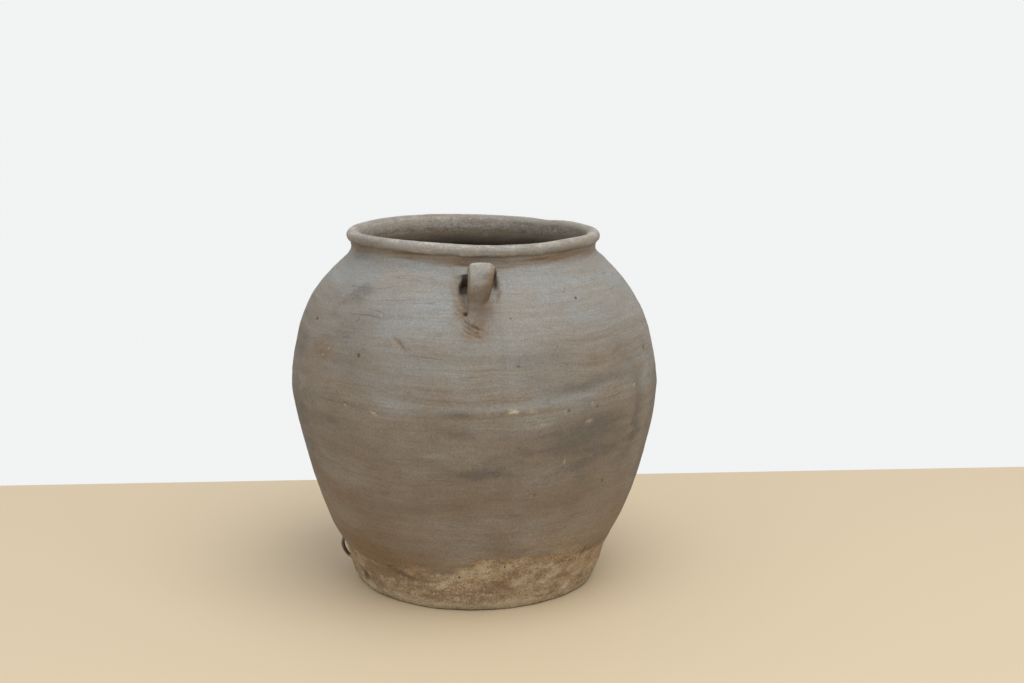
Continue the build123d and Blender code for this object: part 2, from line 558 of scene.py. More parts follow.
class WornSkin:
    """The relief and the painted colour, both of stain and of painted shade, that all members of the jar
    share, so that they run on across joints.
    """

    # Azimuth, from the front lug, of the side that the marks are counted from
    SEEN_SIDE = -1.2
    # Azimuth and height of the ragged edge between the smoothed wall and the rough foot
    FOOT_EDGE = (
        *((-150, 44), (-120, 52), (-90, 50), (-62, 45), (-38, 42), (-32, 43.5), (-20, 41.5)),
        *((-10, 41), (-3, 55), (1, 59), (20, 57), (30, 55), (38, 57), (46, 50)),
        *((60, 45), (90, 46), (120, 51), (150, 42), (180, 49)),
    )
    # Raggedness of that edge: how far it goes up and down, and the size of its swells
    FOOT_RAGGED = ((2.6, 18.0), (3.0, 7.0), (2.0, 3.6))
    # How clearly the edge stands out everywhere, and more so at some azimuths: by how much, where, how wide
    FOOT_LINE = 0.22
    FOOT_LINES = ((0.6, -32, 11), (0.3, 1, 5), (0.4, 34, 16), (0.3, 160, 25), (0.3, -120, 20))
    # Azimuth and height of the lower edge of the luting strip round the belly
    STRIP_EDGE = (
        *((-135, 204), (-90, 206), (-60, 207.5), (-42, 205), (-31, 201.5), (-12, 199.5)),
        *((5, 200), (26, 202), (40, 205), (58, 208), (90, 206), (135, 202), (180, 205)),
    )
    # Rises and dips of the rim: height, azimuth and spread
    RIM_BENDS = (
        *((0.9, 152, 34), (-1.1, -138, 38), (-0.9, 138, 7)),
        *((0.5, 120, 10), (1.2, 46, 13), (-0.8, 0, 22)),
    )
    # Slow departures of the hand-built wall from a true round: lift, side and heights
    RIGHT = (84, 46)
    LEFT = (-88, 46)
    HAND_LEAN = (
        (1.6, RIGHT, (40, 75, 198, 216)),
        (1.5, RIGHT, (321, 6)),
        (1.2, RIGHT, (34, 17)),
        (1.4, LEFT, (292, 20)),
        (1.5, LEFT, (194, 12)),
        (0.9, LEFT, (60, 12)),
        (-1.6, LEFT, (132, 40)),
    )
    # Swells and hollows all round: lift, height and spread
    LEVEL_SWELLS = (
        *((0.9, 12, 9), (-1.2, -1, 3.2), (0.5, 172, 16)),
        *((-0.9, 240, 15), (0.5, 206, 14), (-1.1, 333, 5)),
    )
    # Clay pressed and smeared round a shoulder lug: lift, heights, places to the right of its middle
    TONGUE = (-13.5, -9, 5, 15)
    LUG_RELIEF = (
        (2.2, (274, 288, 303, 309), TONGUE),
        (1.8, (287, 300, 303, 309), TONGUE),
        (3.2, (297, 305.5, 307, 311), TONGUE, (-13, -8, 1, 8)),
        # Root and wing at the neck
        (2.6, (330, 4.5), (1.5, 12)),
        (4.8, (319.6, 321.2, 327, 332.6), (-27, -12, -8, -2)),
        # Dish, slit and folds beside the eye
        (-2.2, (311, 7), (-16, 6)),
        (-3.6, (309, 315, 324, 328), (6, 10.5, 13.6, 16.4)),
        (1.7, (303, 309, 314, 325), (18.5, 2.6)),
        (1.5, (294, 301, 311, 323), (-21, 3)),
        # Crease, smear and pit beside the tongue
        (-1.3, (292, 297, 303, 307), (-12.2, 2.2)),
        (1.6, (286, 293, 300, 307), (-18.5, 4.4)),
        (-2.3, (292, 1.6), (-13.1, 1.8)),
    )
    # Stains and painted shade round a shoulder lug: layer, share, how much of the fine noise, heights,
    # places to the right of its middle. A share below 0 wipes off that part of what lies there.
    HALO = ((258, 282, 316, 330), (-4, 20))
    BROWN = ((296, 8), (-1.5, 11))
    LEFT_FOLD = ((284, 292, 304, 314), (-18, 7))
    RIGHT_FOLD = ((298, 303, 314, 326), (17.5, 4))
    BESIDE = ((300, 311, 326, 332), (-21, 8))
    LIP = (-28, -16, -8, -3)
    LUG_STAINS_AND_SHADE = (
        (Layer.RUST, 0.3, 0.25, *HALO),
        (Layer.ASH, -0.35, 0, *HALO),
        (Layer.RUST, 0.42, 0, (299.5, 5.5), (1, 9.5)),
        (Layer.SMOKE, 0.85, 0, *BROWN),
        (Layer.SMOKE, 0.4, 0, (286, 5), (1.5, 8)),
        # Painted shade where the strap springs from the neck
        (Layer.GRIME_AND_SHADE, 0.3, 0, (334, 3.5), (1.5, 12)),
        (Layer.GRIME_AND_SHADE, 0.2, 0.15, *BROWN),
        (Layer.ASH, -0.85, 0, *BROWN),
        (Layer.ASH, 0.55, 0, (283, 6), (1.5, 7)),
        (Layer.RUST, 0.55, 0.4, *LEFT_FOLD),
        (Layer.RUST, 0.55, 0.4, *RIGHT_FOLD),
        (Layer.RUST, 0.4, 0.3, (279.5, 7), (-6, 9.5)),
        # Painted shadow under the wing, on the top of the eye hollow
        (Layer.GRIME_AND_SHADE, 0.8, 0, (316.5, 319, 321, 321.7), (-18, -14, -7, -3)),
        (Layer.RUST, 0.28, 0, *BESIDE),
        (Layer.ASH, -0.4, 0, *BESIDE),
        (Layer.RUST, 0.5, 0, (318.4, 1.4), (-13, 3.5)),
        (Layer.ASH, 0.4, 0, (320.8, 321.8, 328, 331), LIP),
        (Layer.RUST, -0.6, 0, (320.4, 321.6, 327, 330.5), LIP),
        (Layer.GRIME_AND_SHADE, 0.55, 0, (331.8, 1.2), LIP),
        (Layer.RUST, 0.45, 0, (330, 332, 335, 338), LIP),
        # Painted shade in the crease beside the strap's root
        (Layer.GRIME_AND_SHADE, 0.5, 0, (319, 321, 328, 332), (-8.6, 1.4)),
        # Painted shade in the slit to the right of the strap
        (Layer.GRIME_AND_SHADE, 0.4, 0, (311, 317, 325, 328), (9.5, 11.8, 13.6, 15.8)),
        (Layer.RUST, 0.9, 0, (311, 318, 326, 330), (9, 12, 14.5, 17.5)),
        # Painted shade in the crease at the left of the tongue
        (Layer.GRIME_AND_SHADE, 0.25, 0, (292, 296, 303, 307), (-12.2, 1.8)),
        (Layer.GRIME_AND_SHADE, 0.9, 0, (292, 1.7), (-13.1, 1.9)),
    )
    # Tool strokes under the end of a lug's tongue: radius, first and last bearing, strength
    STROKES = (
        (34.6, -136.0, -103.0, 1.0),
        (36.6, -132.0, -110.0, 0.5),
        (38.4, -134.0, -104.0, 0.75),
        (41.8, -130.0, -100.0, 0.6),
    )
    STROKE_CENTRE = (10.1, 308.0)
    STROKE_STRETCH = 1.146
    # Numbers of marks that are scattered over the sides that the camera doesn't see
    SMALL_MARKS = 90
    CLOUD_MARKS = 24
    FOOT_MARKS = 16

    def __init__(self, form: JarForm, seed: int) -> None:
        """Prepares the noise fields and the marks.

        Args:
            form: Section of the jar.
            seed: Seed of all that is scattered.
        """
        self.form = form
        self.swell = ClayNoise(seed)
        self.rings = ClayNoise(seed + 1)
        self.crust = ClayNoise(seed + 2)
        self.clouds = ClayNoise(seed + 3)
        self.ragged = ClayNoise(seed + 4)
        self.marks = [Mark(kind, *row) for kind, rows in PLACED_MARKS.items() for row in rows]
        self._scatter_marks(np.random.default_rng(seed + 5))

    def _scatter_marks(self, rng: np.random.Generator) -> None:
        """Adds small marks and clouds on the sides that the camera doesn't see.

        Args:
            rng: Source of all that is scattered.
        """
        small = (MarkKind.PIT, MarkKind.CHIP, MarkKind.SCRATCH, MarkKind.SPECK, MarkKind.SCRATCH)
        for index in range(self.SMALL_MARKS):
            azimuth = rng.uniform(82.0, 278.0)
            height = rng.uniform(60.0, 318.0)
            kind = small[index % len(small)]
            long = kind is MarkKind.SCRATCH
            length = rng.uniform(8.0, 24.0) if long else rng.uniform(2.6, 6.0)
            width = rng.uniform(1.3, 2.0) if long else rng.uniform(2.2, 3.6)
            turn = rng.normal(0.0, 30.0)
            strength = rng.uniform(0.3, 0.8)
            depth = rng.uniform(0.2, 0.7)
            self.marks.append(Mark(kind, azimuth, height, length, width, turn, strength, depth))
        clouds = (MarkKind.SMOKE_CLOUD, MarkKind.RUST_STAIN, MarkKind.ASH_BLOOM, MarkKind.SMOKE_CLOUD)
        for index in range(self.CLOUD_MARKS):
            kind = clouds[index % len(clouds)]
            azimuth = rng.uniform(85.0, 275.0)
            height = rng.uniform(90.0, 260.0)
            size = rng.uniform(24.0, 80.0)
            self.marks.append(Mark(kind, azimuth, height, size, 0.35 * size, rng.normal(0.0, 8.0), 0.55))
        patches = (MarkKind.GRIME_PATCH, MarkKind.LIME_PATCH, MarkKind.RUST_STAIN)
        for index in range(self.FOOT_MARKS):
            kind = patches[index % len(patches)]
            azimuth = rng.uniform(80.0, 280.0)
            height = rng.uniform(8.0, 42.0)
            length = rng.uniform(14.0, 46.0)
            self.marks.append(Mark(kind, azimuth, height, length, rng.uniform(7.0, 14.0), 0.0, 0.7))

    def seen(self, azimuth: Array) -> Array:
        """Azimuth counted from the side that is seen, from -180 to 180."""
        return apart(azimuth, self.SEEN_SIDE)

    def spots(self, azimuth: Array, height: Array) -> Spots:
        """Places on the outside, from their azimuths and heights."""
        points = turned(azimuth, self.form.radius(height), height)
        return Spots(azimuth, height, self.seen(azimuth), points, self.ragged.at(points, 3.4))

    def foot_edge(self, spots: Spots) -> Array:
        """Height of the edge over the rough foot, with its small raggedness."""
        level = np.interp(spots.seen, *zip(*self.FOOT_EDGE), period=FULL_TURN)
        for rise, size in self.FOOT_RAGGED:
            level += rise * self.ragged.at(spots.points, size)
        return level

    def foot_line(self, spots: Spots) -> Array:
        """How clearly the edge over the rough foot stands out, from 0 to 1."""
        return self.FOOT_LINE + bells_round(spots.seen, self.FOOT_LINES)

    def slab_joint(self, spots: Spots) -> Array:
        """Height of the joint between the floor slab and the lower wall."""
        return self.form.sizes.slab_edge + 0.8 * self.ragged.at(spots.points, 12.0)

    def strip_edge(self, azimuth: Array, points: Array) -> Array:
        """Height of the lower edge of the luting strip."""
        level = np.interp(self.seen(azimuth), *zip(*self.STRIP_EDGE), period=FULL_TURN)
        return level + 1.0 * self.ragged.at(points, 22.0) + 0.5 * self.ragged.at(points, 7.0)

    def strip_line(self, azimuth: Array) -> Array:
        """How crisp the luting strip's lower edge was left, from 0 to 1."""
        seen = self.seen(azimuth)
        return 0.05 + 0.9 * hump(seen, -47.0, 21.0) + 0.5 * hump(seen, 130.0, 30.0)

    def rim_warp(self, azimuth: Array) -> Array:
        """How far the rim rises over its level circle: high on the left and low on the right.

        Args:
            azimuth: Azimuths.

        Returns:
            The rise in millimetres.
        """
        seen = self.seen(azimuth)
        angle = np.radians(seen)
        wave = -2.0 * np.sin(angle) + 0.45 * np.sin(2 * angle) - 1.0 * np.sin(3 * angle)
        return wave + bells_round(seen, self.RIM_BENDS)

    def place(self, azimuth: Array, height: Array, lift: Array) -> Array:
        """Points at a height of the outline, lifted off it along its normal.

        Args:
            azimuth: Azimuths.
            height: Heights on the outline.
            lift: Distance out of the wall, or into it where negative.

        Returns:
            Points in millimetres, one row each.
        """
        slope = self.form.slope(height)
        lean = np.hypot(1.0, slope)
        radius = self.form.radius(height) + lift / lean
        raised = height - lift * slope / lean
        raised = raised + self.rim_warp(azimuth) * ease(296.0, 338.0, height)
        return turned(azimuth, radius, raised)

    def _on_mark(self, mark: Mark, spots: Spots, fray: Array) -> tuple[Array, Array]:
        """How deep in a mark each spot lies.

        Args:
            mark: The mark.
            spots: Places on the wall.
            fray: Noise that frays the mark's edge.

        Returns:
            The share of the mark at each spot, and the place across it from -1 to 1.
        """
        right = np.radians(apart(spots.seen, mark.azimuth)) * self.form.radius(mark.height)
        up = (spots.height - mark.height) * math.hypot(1.0, self.form.slope(mark.height))
        turn = math.radians(mark.turn)
        along = (right * math.cos(turn) + up * math.sin(turn)) / (mark.length / 2)
        across = (up * math.cos(turn) - right * math.sin(turn)) / (mark.width / 2)
        reach = np.hypot(along, across)
        if mark.kind in SOFT_MARKS:
            return np.exp(-0.7 * (reach * (1.0 + 0.3 * fray)) ** 2), across
        return 1.0 - ease(0.5, 1.3, reach + 0.42 * fray), across

    def _beside_lugs(self, spots: Spots) -> list[Array]:
        """Distance of each spot to the right of the front lug's middle, and of the rear lug's."""
        return [np.radians(apart(spots.azimuth, side)) * self.form.radius(spots.height) for side in LUG_SIDES]

    @staticmethod
    def _eye_hollow(right: Array, height: Array) -> Array:
        """How far a finger hollowed the wall to the left under a lug, from 0 to 1.

        Args:
            right: Distance to the right of the lug's middle, along the wall.
            height: Heights.

        Returns:
            The share of the hollow.
        """
        reach = np.hypot((right + 11.0) / 7.8, (height - 312.6) / 8.0)
        soft = 0.12 + 0.5 * (1.0 - ease(304.0, 314.0, height))
        return 1.0 - ease(1.0 - soft, 1.0 + 0.3 * soft, reach)

    @staticmethod
    def _lug_groove(right: Array, height: Array) -> Array:
        """Curved groove that a tool left to the left of a lug's tongue, from 0 to 1."""
        run = 292.0 + 0.062 * (right + 13.0) ** 2
        return hump(height, run, 1.2) * band(right, -24.0, -20.0, -13.0, -11.5)

    def _crescents(self, right: Array, height: Array, wobble: Array) -> Array:
        """Tool strokes that curve under the end of a lug's tongue.

        Args:
            right: Distance to the right of the lug's middle, along the wall.
            height: Heights.
            wobble: Noise that makes the strokes uneven.

        Returns:
            The share of a stroke at each point, from 0 to 1.
        """
        across = right - self.STROKE_CENTRE[0]
        up = (height - self.STROKE_CENTRE[1]) * self.STROKE_STRETCH
        reach = np.hypot(across, up) + 0.5 * wobble
        bearing = np.degrees(np.arctan2(up, across))
        strokes = np.zeros_like(right)
        for size, first, last, strength in self.STROKES:
            window = band(bearing, first - 3.0, first + 4.0, last - 8.0, last + 4.0)
            strokes = np.maximum(strokes, strength * window * hump(reach, size, 1.0))
        return strokes * (0.85 + 0.3 * wobble)

    def _lug_relief(self, right: Array, height: Array) -> Array:
        """Clay smeared and pressed round a shoulder lug.

        Args:
            right: Distance to the right of the lug's middle, along the wall.
            height: Heights.

        Returns:
            The lift of the wall.
        """
        lift = -9.0 * self._eye_hollow(right, height) * (0.3 + 0.7 * ease(305.0, 317.0, height))
        for rise, up, *spans in self.LUG_RELIEF:
            lift += rise * profiled(height, up) * math.prod(profiled(right, span) for span in spans)
        slant = 15.0 + 0.9 * (height - 303.8)
        lift -= 1.0 * hump(right, slant, 1.6) * band(height, 298.0, 301.0, 306.0, 309.0)
        return lift - 1.0 * self._lug_groove(right, height)

    def relief(self, spots: Spots) -> Array:
        """Lift of the worn outside over the plain outline.

        Args:
            spots: Places on the wall.

        Returns:
            The lift in millimetres.
        """
        height, points = spots.height, spots.points
        angle = np.radians(spots.azimuth)
        lift = 0.35 * np.cos(2 * angle - 0.7) + 0.25 * np.cos(3 * angle + 0.9)
        for rise, side, up in self.HAND_LEAN:
            lift += rise * profiled(spots.seen, side) * profiled(height, up)
        for rise, centre, spread in self.LEVEL_SWELLS:
            lift += rise * hump(height, centre, spread)
        lift += 0.55 * self.swell.at(points, 62.0) + 0.26 * self.swell.at(points, 24.0)
        turning = 0.18 * self.rings.at(points, (110.0, 110.0, 7.0))
        turning += 0.11 * self.rings.at(points, (90.0, 90.0, 3.4))
        lift += turning * ease(55.0, 110.0, height) * (0.8 + 0.5 * ease(215.0, 260.0, height))
        edge = self.foot_edge(spots)
        line = self.foot_line(spots)
        rough = 1.0 - ease(edge - 1.2, edge + 0.8, height)
        lift += rough * (self._crust(points) - 0.3 - 0.4 * line)
        lift += 0.75 * line * hump(height - edge, 1.6, 1.8)
        lift -= 0.1 * hump(height, self.slab_joint(spots), 0.9)
        for mark in self.marks:
            if mark.depth > 0.0:
                lift -= mark.depth * self._on_mark(mark, spots, spots.wobble)[0]
        for right in self._beside_lugs(spots):
            lift += self._lug_relief(right, height) - 1.6 * self._crescents(right, height, spots.wobble)
        return lift

    def _crust(self, points: Array) -> Array:
        """Relief of the rough foot: flakes that broke off in layers, and grit.

        Args:
            points: Points on the plain outline.

        Returns:
            The lift in millimetres.
        """
        layers = 2.2 * self.crust.at(points, (30.0, 30.0, 15.0)) + 0.7 * self.crust.at(points, 6.5)
        steps = np.floor(layers)
        flakes = steps + ease(0.55, 0.8, layers - steps)
        grit = 0.20 * self.crust.at(points, 8.0) + 0.18 * self.crust.at(points, 4.0)
        return 0.42 * flakes + grit + 0.22 * self.crust.at(points, (34.0, 34.0, 4.0))

    def stains_and_shade(self, spots: Spots) -> Paint:
        """What is painted on the outside, stains and painted shade alike.

        Args:
            spots: Places on the wall.

        Returns:
            The values of each layer.
        """
        paint = bare_paint(len(spots.height))
        patch = self.clouds.at(spots.points, (30.0, 30.0, 18.0))
        self._stain_firing(paint, spots, patch)
        self._stain_neck(paint, spots, patch)
        self._stain_and_shade_foot(paint, spots, patch)
        self._stain_marks(paint, spots)
        for right in self._beside_lugs(spots):
            self._stain_and_shade_lug(paint, spots, right)
        return clipped(paint)

    def _stain_firing(self, paint: Paint, spots: Spots, patch: Array) -> None:
        """Adds what the fire left: ash over the shoulder, smoky clouds and brown clay low down, and painted
        shade on the left side.

        Args:
            paint: Layers to add to.
            spots: Places on the wall.
            patch: Noise of hand size.
        """
        seen, height = spots.seen, spots.height
        cloud = self.clouds.at(spots.points, (75.0, 75.0, 48.0))
        drag = self.clouds.at(spots.points, (85.0, 85.0, 6.0))
        left = band(seen, -150.0, -90.0, -62.0, -22.0)
        right = band(seen, 12.0, 40.0, 80.0, 120.0)
        plain_front = 0.8 * band(seen, -36.0, -10.0, 45.0, 72.0)
        paint[Layer.ASH] += 0.95 * ease(150.0, 335.0, height + 18.0 * cloud + 9.0 * drag)
        # Painted shade on the left side, away from the key lamp: less ash and more of the smoky layer
        paint[Layer.ASH] -= 0.36 * left * band(height, 170.0, 240.0, 290.0, 322.0)
        paint[Layer.ASH] -= 0.12 * right * band(height, 205.0, 235.0, 268.0, 300.0)
        paint[Layer.SMOKE] += 0.12 + 0.22 * cloud + 0.16 * patch + 0.1 * drag
        paint[Layer.SMOKE] += 0.1 * left * band(height, 90.0, 140.0, 180.0, 230.0)
        paint[Layer.RUST] += 0.14 + 0.22 * patch - 0.32 * ease(110.0, 200.0, height)
        paint[Layer.RUST] += 0.26 * (1.0 - ease(60.0, 150.0, height + 14.0 * cloud)) * (1.0 - plain_front)

    def _stain_neck(self, paint: Paint, spots: Spots, patch: Array) -> None:
        """Adds the brown clay and the dirt in the neck under the roll, wiped out level.

        Args:
            paint: Layers to add to.
            spots: Places on the wall.
            patch: Noise of hand size.
        """
        seen, height = spots.seen, spots.height
        drag = self.rings.at(spots.points, (44.0, 44.0, 2.8))
        low_edge = 333.0 - 3.2 * band(seen, -26.0, -6.0, 40.0, 75.0) + 1.6 * patch
        under_roll = ease(low_edge - 3.4, low_edge + 4.0, height + 1.6 * drag)
        under_roll *= 1.0 - 0.3 * hump(seen, -38.0, 13.0)
        paint[Layer.RUST] += under_roll * (0.66 + 0.95 * drag + 0.2 * patch)
        paint[Layer.GRIME_AND_SHADE] += 0.2 * ease(335.0, 340.0, height + 1.5 * drag)
        paint[Layer.GRIME_AND_SHADE] += 0.36 * under_roll * ease(0.2, 0.6, drag)
        paint[Layer.GRIME_AND_SHADE] += 0.5 * hump(height, low_edge, 0.9) * hump(seen, -31.0, 13.0)
        paint[Layer.SMOKE] += 0.55 * ease(322.0, 334.0, height) * hump(seen, -64.0, 12.0)
        paint[Layer.ASH] *= 1.0 - 0.75 * under_roll

    def _stain_and_shade_foot(self, paint: Paint, spots: Spots, patch: Array) -> None:
        """Adds the open clay, the pale deposits and the dirt of the rough foot, with painted shade in the
        step over it and a painted contact shadow along its bottom edge.

        Args:
            paint: Layers to add to.
            spots: Places on the wall.
            patch: Noise of hand size.
        """
        seen, height, points = spots.seen, spots.height, spots.points
        edge = self.foot_edge(spots)
        blurred = 3.0 + 4.4 * (1.0 - ease(-30.0, -14.0, seen)) + 2.5 * ease(22.0, 40.0, seen)
        paint[Layer.RAW] += 1.0 - ease(edge - blurred, edge + 0.9 * blurred, height)
        # Dark line in the step at the top of the rough foot, as dirt and painted shade
        line = hump(height - edge, 0.2, 1.3) * self.foot_line(spots) * (0.6 + 0.8 * patch)
        paint[Layer.GRIME_AND_SHADE] += np.clip(line, 0.0, 0.7)
        low = 1.0 - ease(7.0, 13.0, height + 3.0 * patch)
        paint[Layer.LIME_AND_LIGHT] += 0.5 * low * ease(0.4, 1.6, height)
        flakes = self.crust.at(points, (14.0, 14.0, 7.0)) + 0.6 * self.crust.at(points, 5.0)
        paint[Layer.LIME_AND_LIGHT] += 0.42 * ease(0.15, 0.6, flakes) * paint[Layer.RAW]
        paint[Layer.RUST] += 0.42 * ease(0.1, 0.55, -flakes) * paint[Layer.RAW]
        joint = hump(height, self.slab_joint(spots), 0.7)
        paint[Layer.GRIME_AND_SHADE] += 0.25 * joint * ease(0.0, 0.5, self.ragged.at(points, 16.0))
        # Painted contact shadow along the bottom edge, where the foot meets the floor
        paint[Layer.GRIME_AND_SHADE] += 0.6 * (1.0 - ease(0.2, 1.2, height))
        cracks = np.abs(self.crust.at(points, (16.0, 16.0, 7.0)))
        cracks = (1.0 - ease(0.02, 0.14, cracks)) * ease(0.0, 0.5, patch)
        paint[Layer.GRIME_AND_SHADE] += 0.28 * paint[Layer.RAW] * cracks

    def _stain_marks(self, paint: Paint, spots: Spots) -> None:
        """Adds the marks to the painted layers.

        Args:
            paint: Layers to add to.
            spots: Places on the wall.
        """
        fray = spots.wobble + 1.3 * self.ragged.at(spots.points, (26.0, 26.0, 9.0))
        for mark in self.marks:
            soft = mark.kind in SOFT_MARKS
            share, across = self._on_mark(mark, spots, fray if soft else spots.wobble)
            share = share * mark.strength
            if soft:
                paint[SOFT_MARKS[mark.kind]] += share
            elif mark.kind in HARD_MARKS:
                layer, part = HARD_MARKS[mark.kind]
                paint[layer] += part * share
            else:
                # A gouge: rust inside, painted shade along one side and a painted highlight along the other
                paint[Layer.GRIME_AND_SHADE] += 0.35 * share * ease(0.0, 0.6, across)
                paint[Layer.RUST] += 0.7 * share
                paint[Layer.LIME_AND_LIGHT] += 0.45 * share * band(across, -0.9, -0.4, -0.2, 0.3)

    def _stain_and_shade_lug(self, paint: Paint, spots: Spots, right: Array) -> None:
        """Adds the brown dirt round a shoulder lug, and painted shade in its eye hollow, under its wing, in
        its slit and creases and at its root.

        Args:
            paint: Layers to add to.
            spots: Places on the wall.
            right: Distance of each to the right of the lug's middle.
        """
        height, wobble = spots.height, spots.wobble
        for layer, share, noise, up, span in self.LUG_STAINS_AND_SHADE:
            shape = profiled(height, up) * profiled(right, span)
            if share < 0.0:
                paint[layer] *= 1.0 + share * shape
            else:
                paint[layer] += (share + noise * wobble) * shape
        folds = np.zeros_like(right)
        for up, span in (self.LEFT_FOLD, self.RIGHT_FOLD):
            folds += profiled(height, up) * profiled(right, span)
        paint[Layer.GRIME_AND_SHADE] += 0.25 * folds * ease(0.1, 0.6, -wobble)
        paint[Layer.LIME_AND_LIGHT] += 0.15 * folds * ease(0.1, 0.6, wobble)
        paint[Layer.GRIME_AND_SHADE] += 0.7 * self._crescents(right, height, wobble)
        # Painted shade inside the eye hollow, darker towards its top
        paint[Layer.GRIME_AND_SHADE] += 0.9 * self._eye_hollow(right, height) * ease(306.0, 318.0, height)
        paint[Layer.GRIME_AND_SHADE] += 0.35 * self._lug_groove(right, height)


class RingMesh:
    """A mesh made of rings of points round the jar, with painted layers."""

    # Points of a fine ring for each point of a coarse one
    COARSE_SHARE = 4
    # Angle between faces from which their edge stays sharp
    SHARP_ANGLE = 60.0

    def __init__(self) -> None:
        """Starts with no points."""
        self._points: list[Array] = []
        self._paints: list[Paint] = []
        self._starts: list[int] = []
        self._faces: list[list[int]] = []
        self._total = 0

    def ring(self, points: Array, paint: Paint) -> int:
        """Adds one ring.

        Args:
            points: Points of the ring in order, in millimetres.
            paint: Painted values at those points.

        Returns:
            The number of the ring.
        """
        self._points.append(points)
        self._paints.append(paint)
        self._starts.append(self._total)
        self._total += len(points)
        return len(self._points) - 1

    def rows(self, points: Array, paint: Paint, width: int) -> list[int]:
        """Adds several rings and joins each to the next.

        Args:
            points: Points of all the rings in order.
            paint: Painted values at those points.
            width: Number of points in a ring.

        Returns:
            The numbers of the rings.
        """
        rings = []
        for start in range(0, len(points), width):
            part = slice(start, start + width)
            rings.append(self.ring(points[part], {layer: values[part] for layer, values in paint.items()}))
        self.chain(rings)
        return rings

    def chain(self, rings: list[int]) -> None:
        """Joins each ring to the next."""
        for first, second in zip(rings, rings[1:]):
            self.join(first, second)

    def join(self, first: int, second: int) -> None:
        """Fills the strip between two rings, of which one may have a quarter of the other's points.

        Args:
            first: Number of the ring that the faces start from.
            second: Number of the other ring.
        """
        count, other = len(self._points[first]), len(self._points[second])
        if count < other:
            self._stitch(second, first, True)
        elif count > other:
            self._stitch(first, second, False)
        else:
            near = np.arange(count)
            after = np.roll(near, -1)
            start, end = self._starts[first], self._starts[second]
            faces = np.stack((start + near, start + after, end + after, end + near), axis=1)
            self._faces.extend(faces.tolist())

    def _stitch(self, fine: int, coarse: int, flip: bool) -> None:
        """Joins a fine ring to one with a quarter of its points.

        Args:
            fine: Number of the fine ring.
            coarse: Number of the coarse ring.
            flip: Whether the faces look the other way.
        """
        share = self.COARSE_SHARE
        many, few = len(self._points[fine]), len(self._points[coarse])
        for step in range(few):
            edge = [self._starts[fine] + (share * step + part) % many for part in range(share + 1)]
            here = self._starts[coarse] + step
            after = self._starts[coarse] + (step + 1) % few
            fan = [
                [edge[0], edge[1], here],
                [edge[1], edge[2], here],
                [edge[2], after, here],
                [edge[2], edge[3], after],
                [edge[3], edge[4], after],
            ]
            self._faces.extend([face[::-1] for face in fan] if flip else fan)

    def cap(self, ring: int, centre: Array | tuple[float, float, float], value: float, upward: bool) -> None:
        """Closes a ring with a fan round a centre point.

        Args:
            ring: Number of the ring.
            centre: The centre point.
            value: Painted value of every layer at the centre.
            upward: Whether the fan goes on from the ring in the order of the rings.
        """
        middle = self.ring(np.asarray(centre)[None], {layer: np.full(1, value) for layer in Layer})
        hub = self._starts[middle]
        near = self._starts[ring] + np.arange(len(self._points[ring]))
        after = np.roll(near, -1)
        fan = [[start, end, hub] for start, end in zip(near.tolist(), after.tolist())]
        self._faces.extend(fan if upward else [face[::-1] for face in fan])

    def object(self, name: str, material: bpy.types.Material) -> bpy.types.Object:
        """Turns the rings into a Blender object with smooth faces.

        Args:
            name: Name of the object.
            material: Its finish.

        Returns:
            The object, linked to the scene.
        """
        mesh = bpy.data.meshes.new(name)
        mesh.from_pydata((np.concatenate(self._points) * METRE).tolist(), [], self._faces)
        for layer in Layer:
            values = np.concatenate([paint[layer] for paint in self._paints])
            held = mesh.attributes.new(layer.value, "FLOAT", "POINT")
            held.data.foreach_set("value", values.astype(np.float32))
        mesh.shade_smooth()
        mesh.set_sharp_from_angle(angle=math.radians(self.SHARP_ANGLE))
        mesh.materials.append(material)
        made = bpy.data.objects.new(name, mesh)
        bpy.context.scene.collection.objects.link(made)
        return made


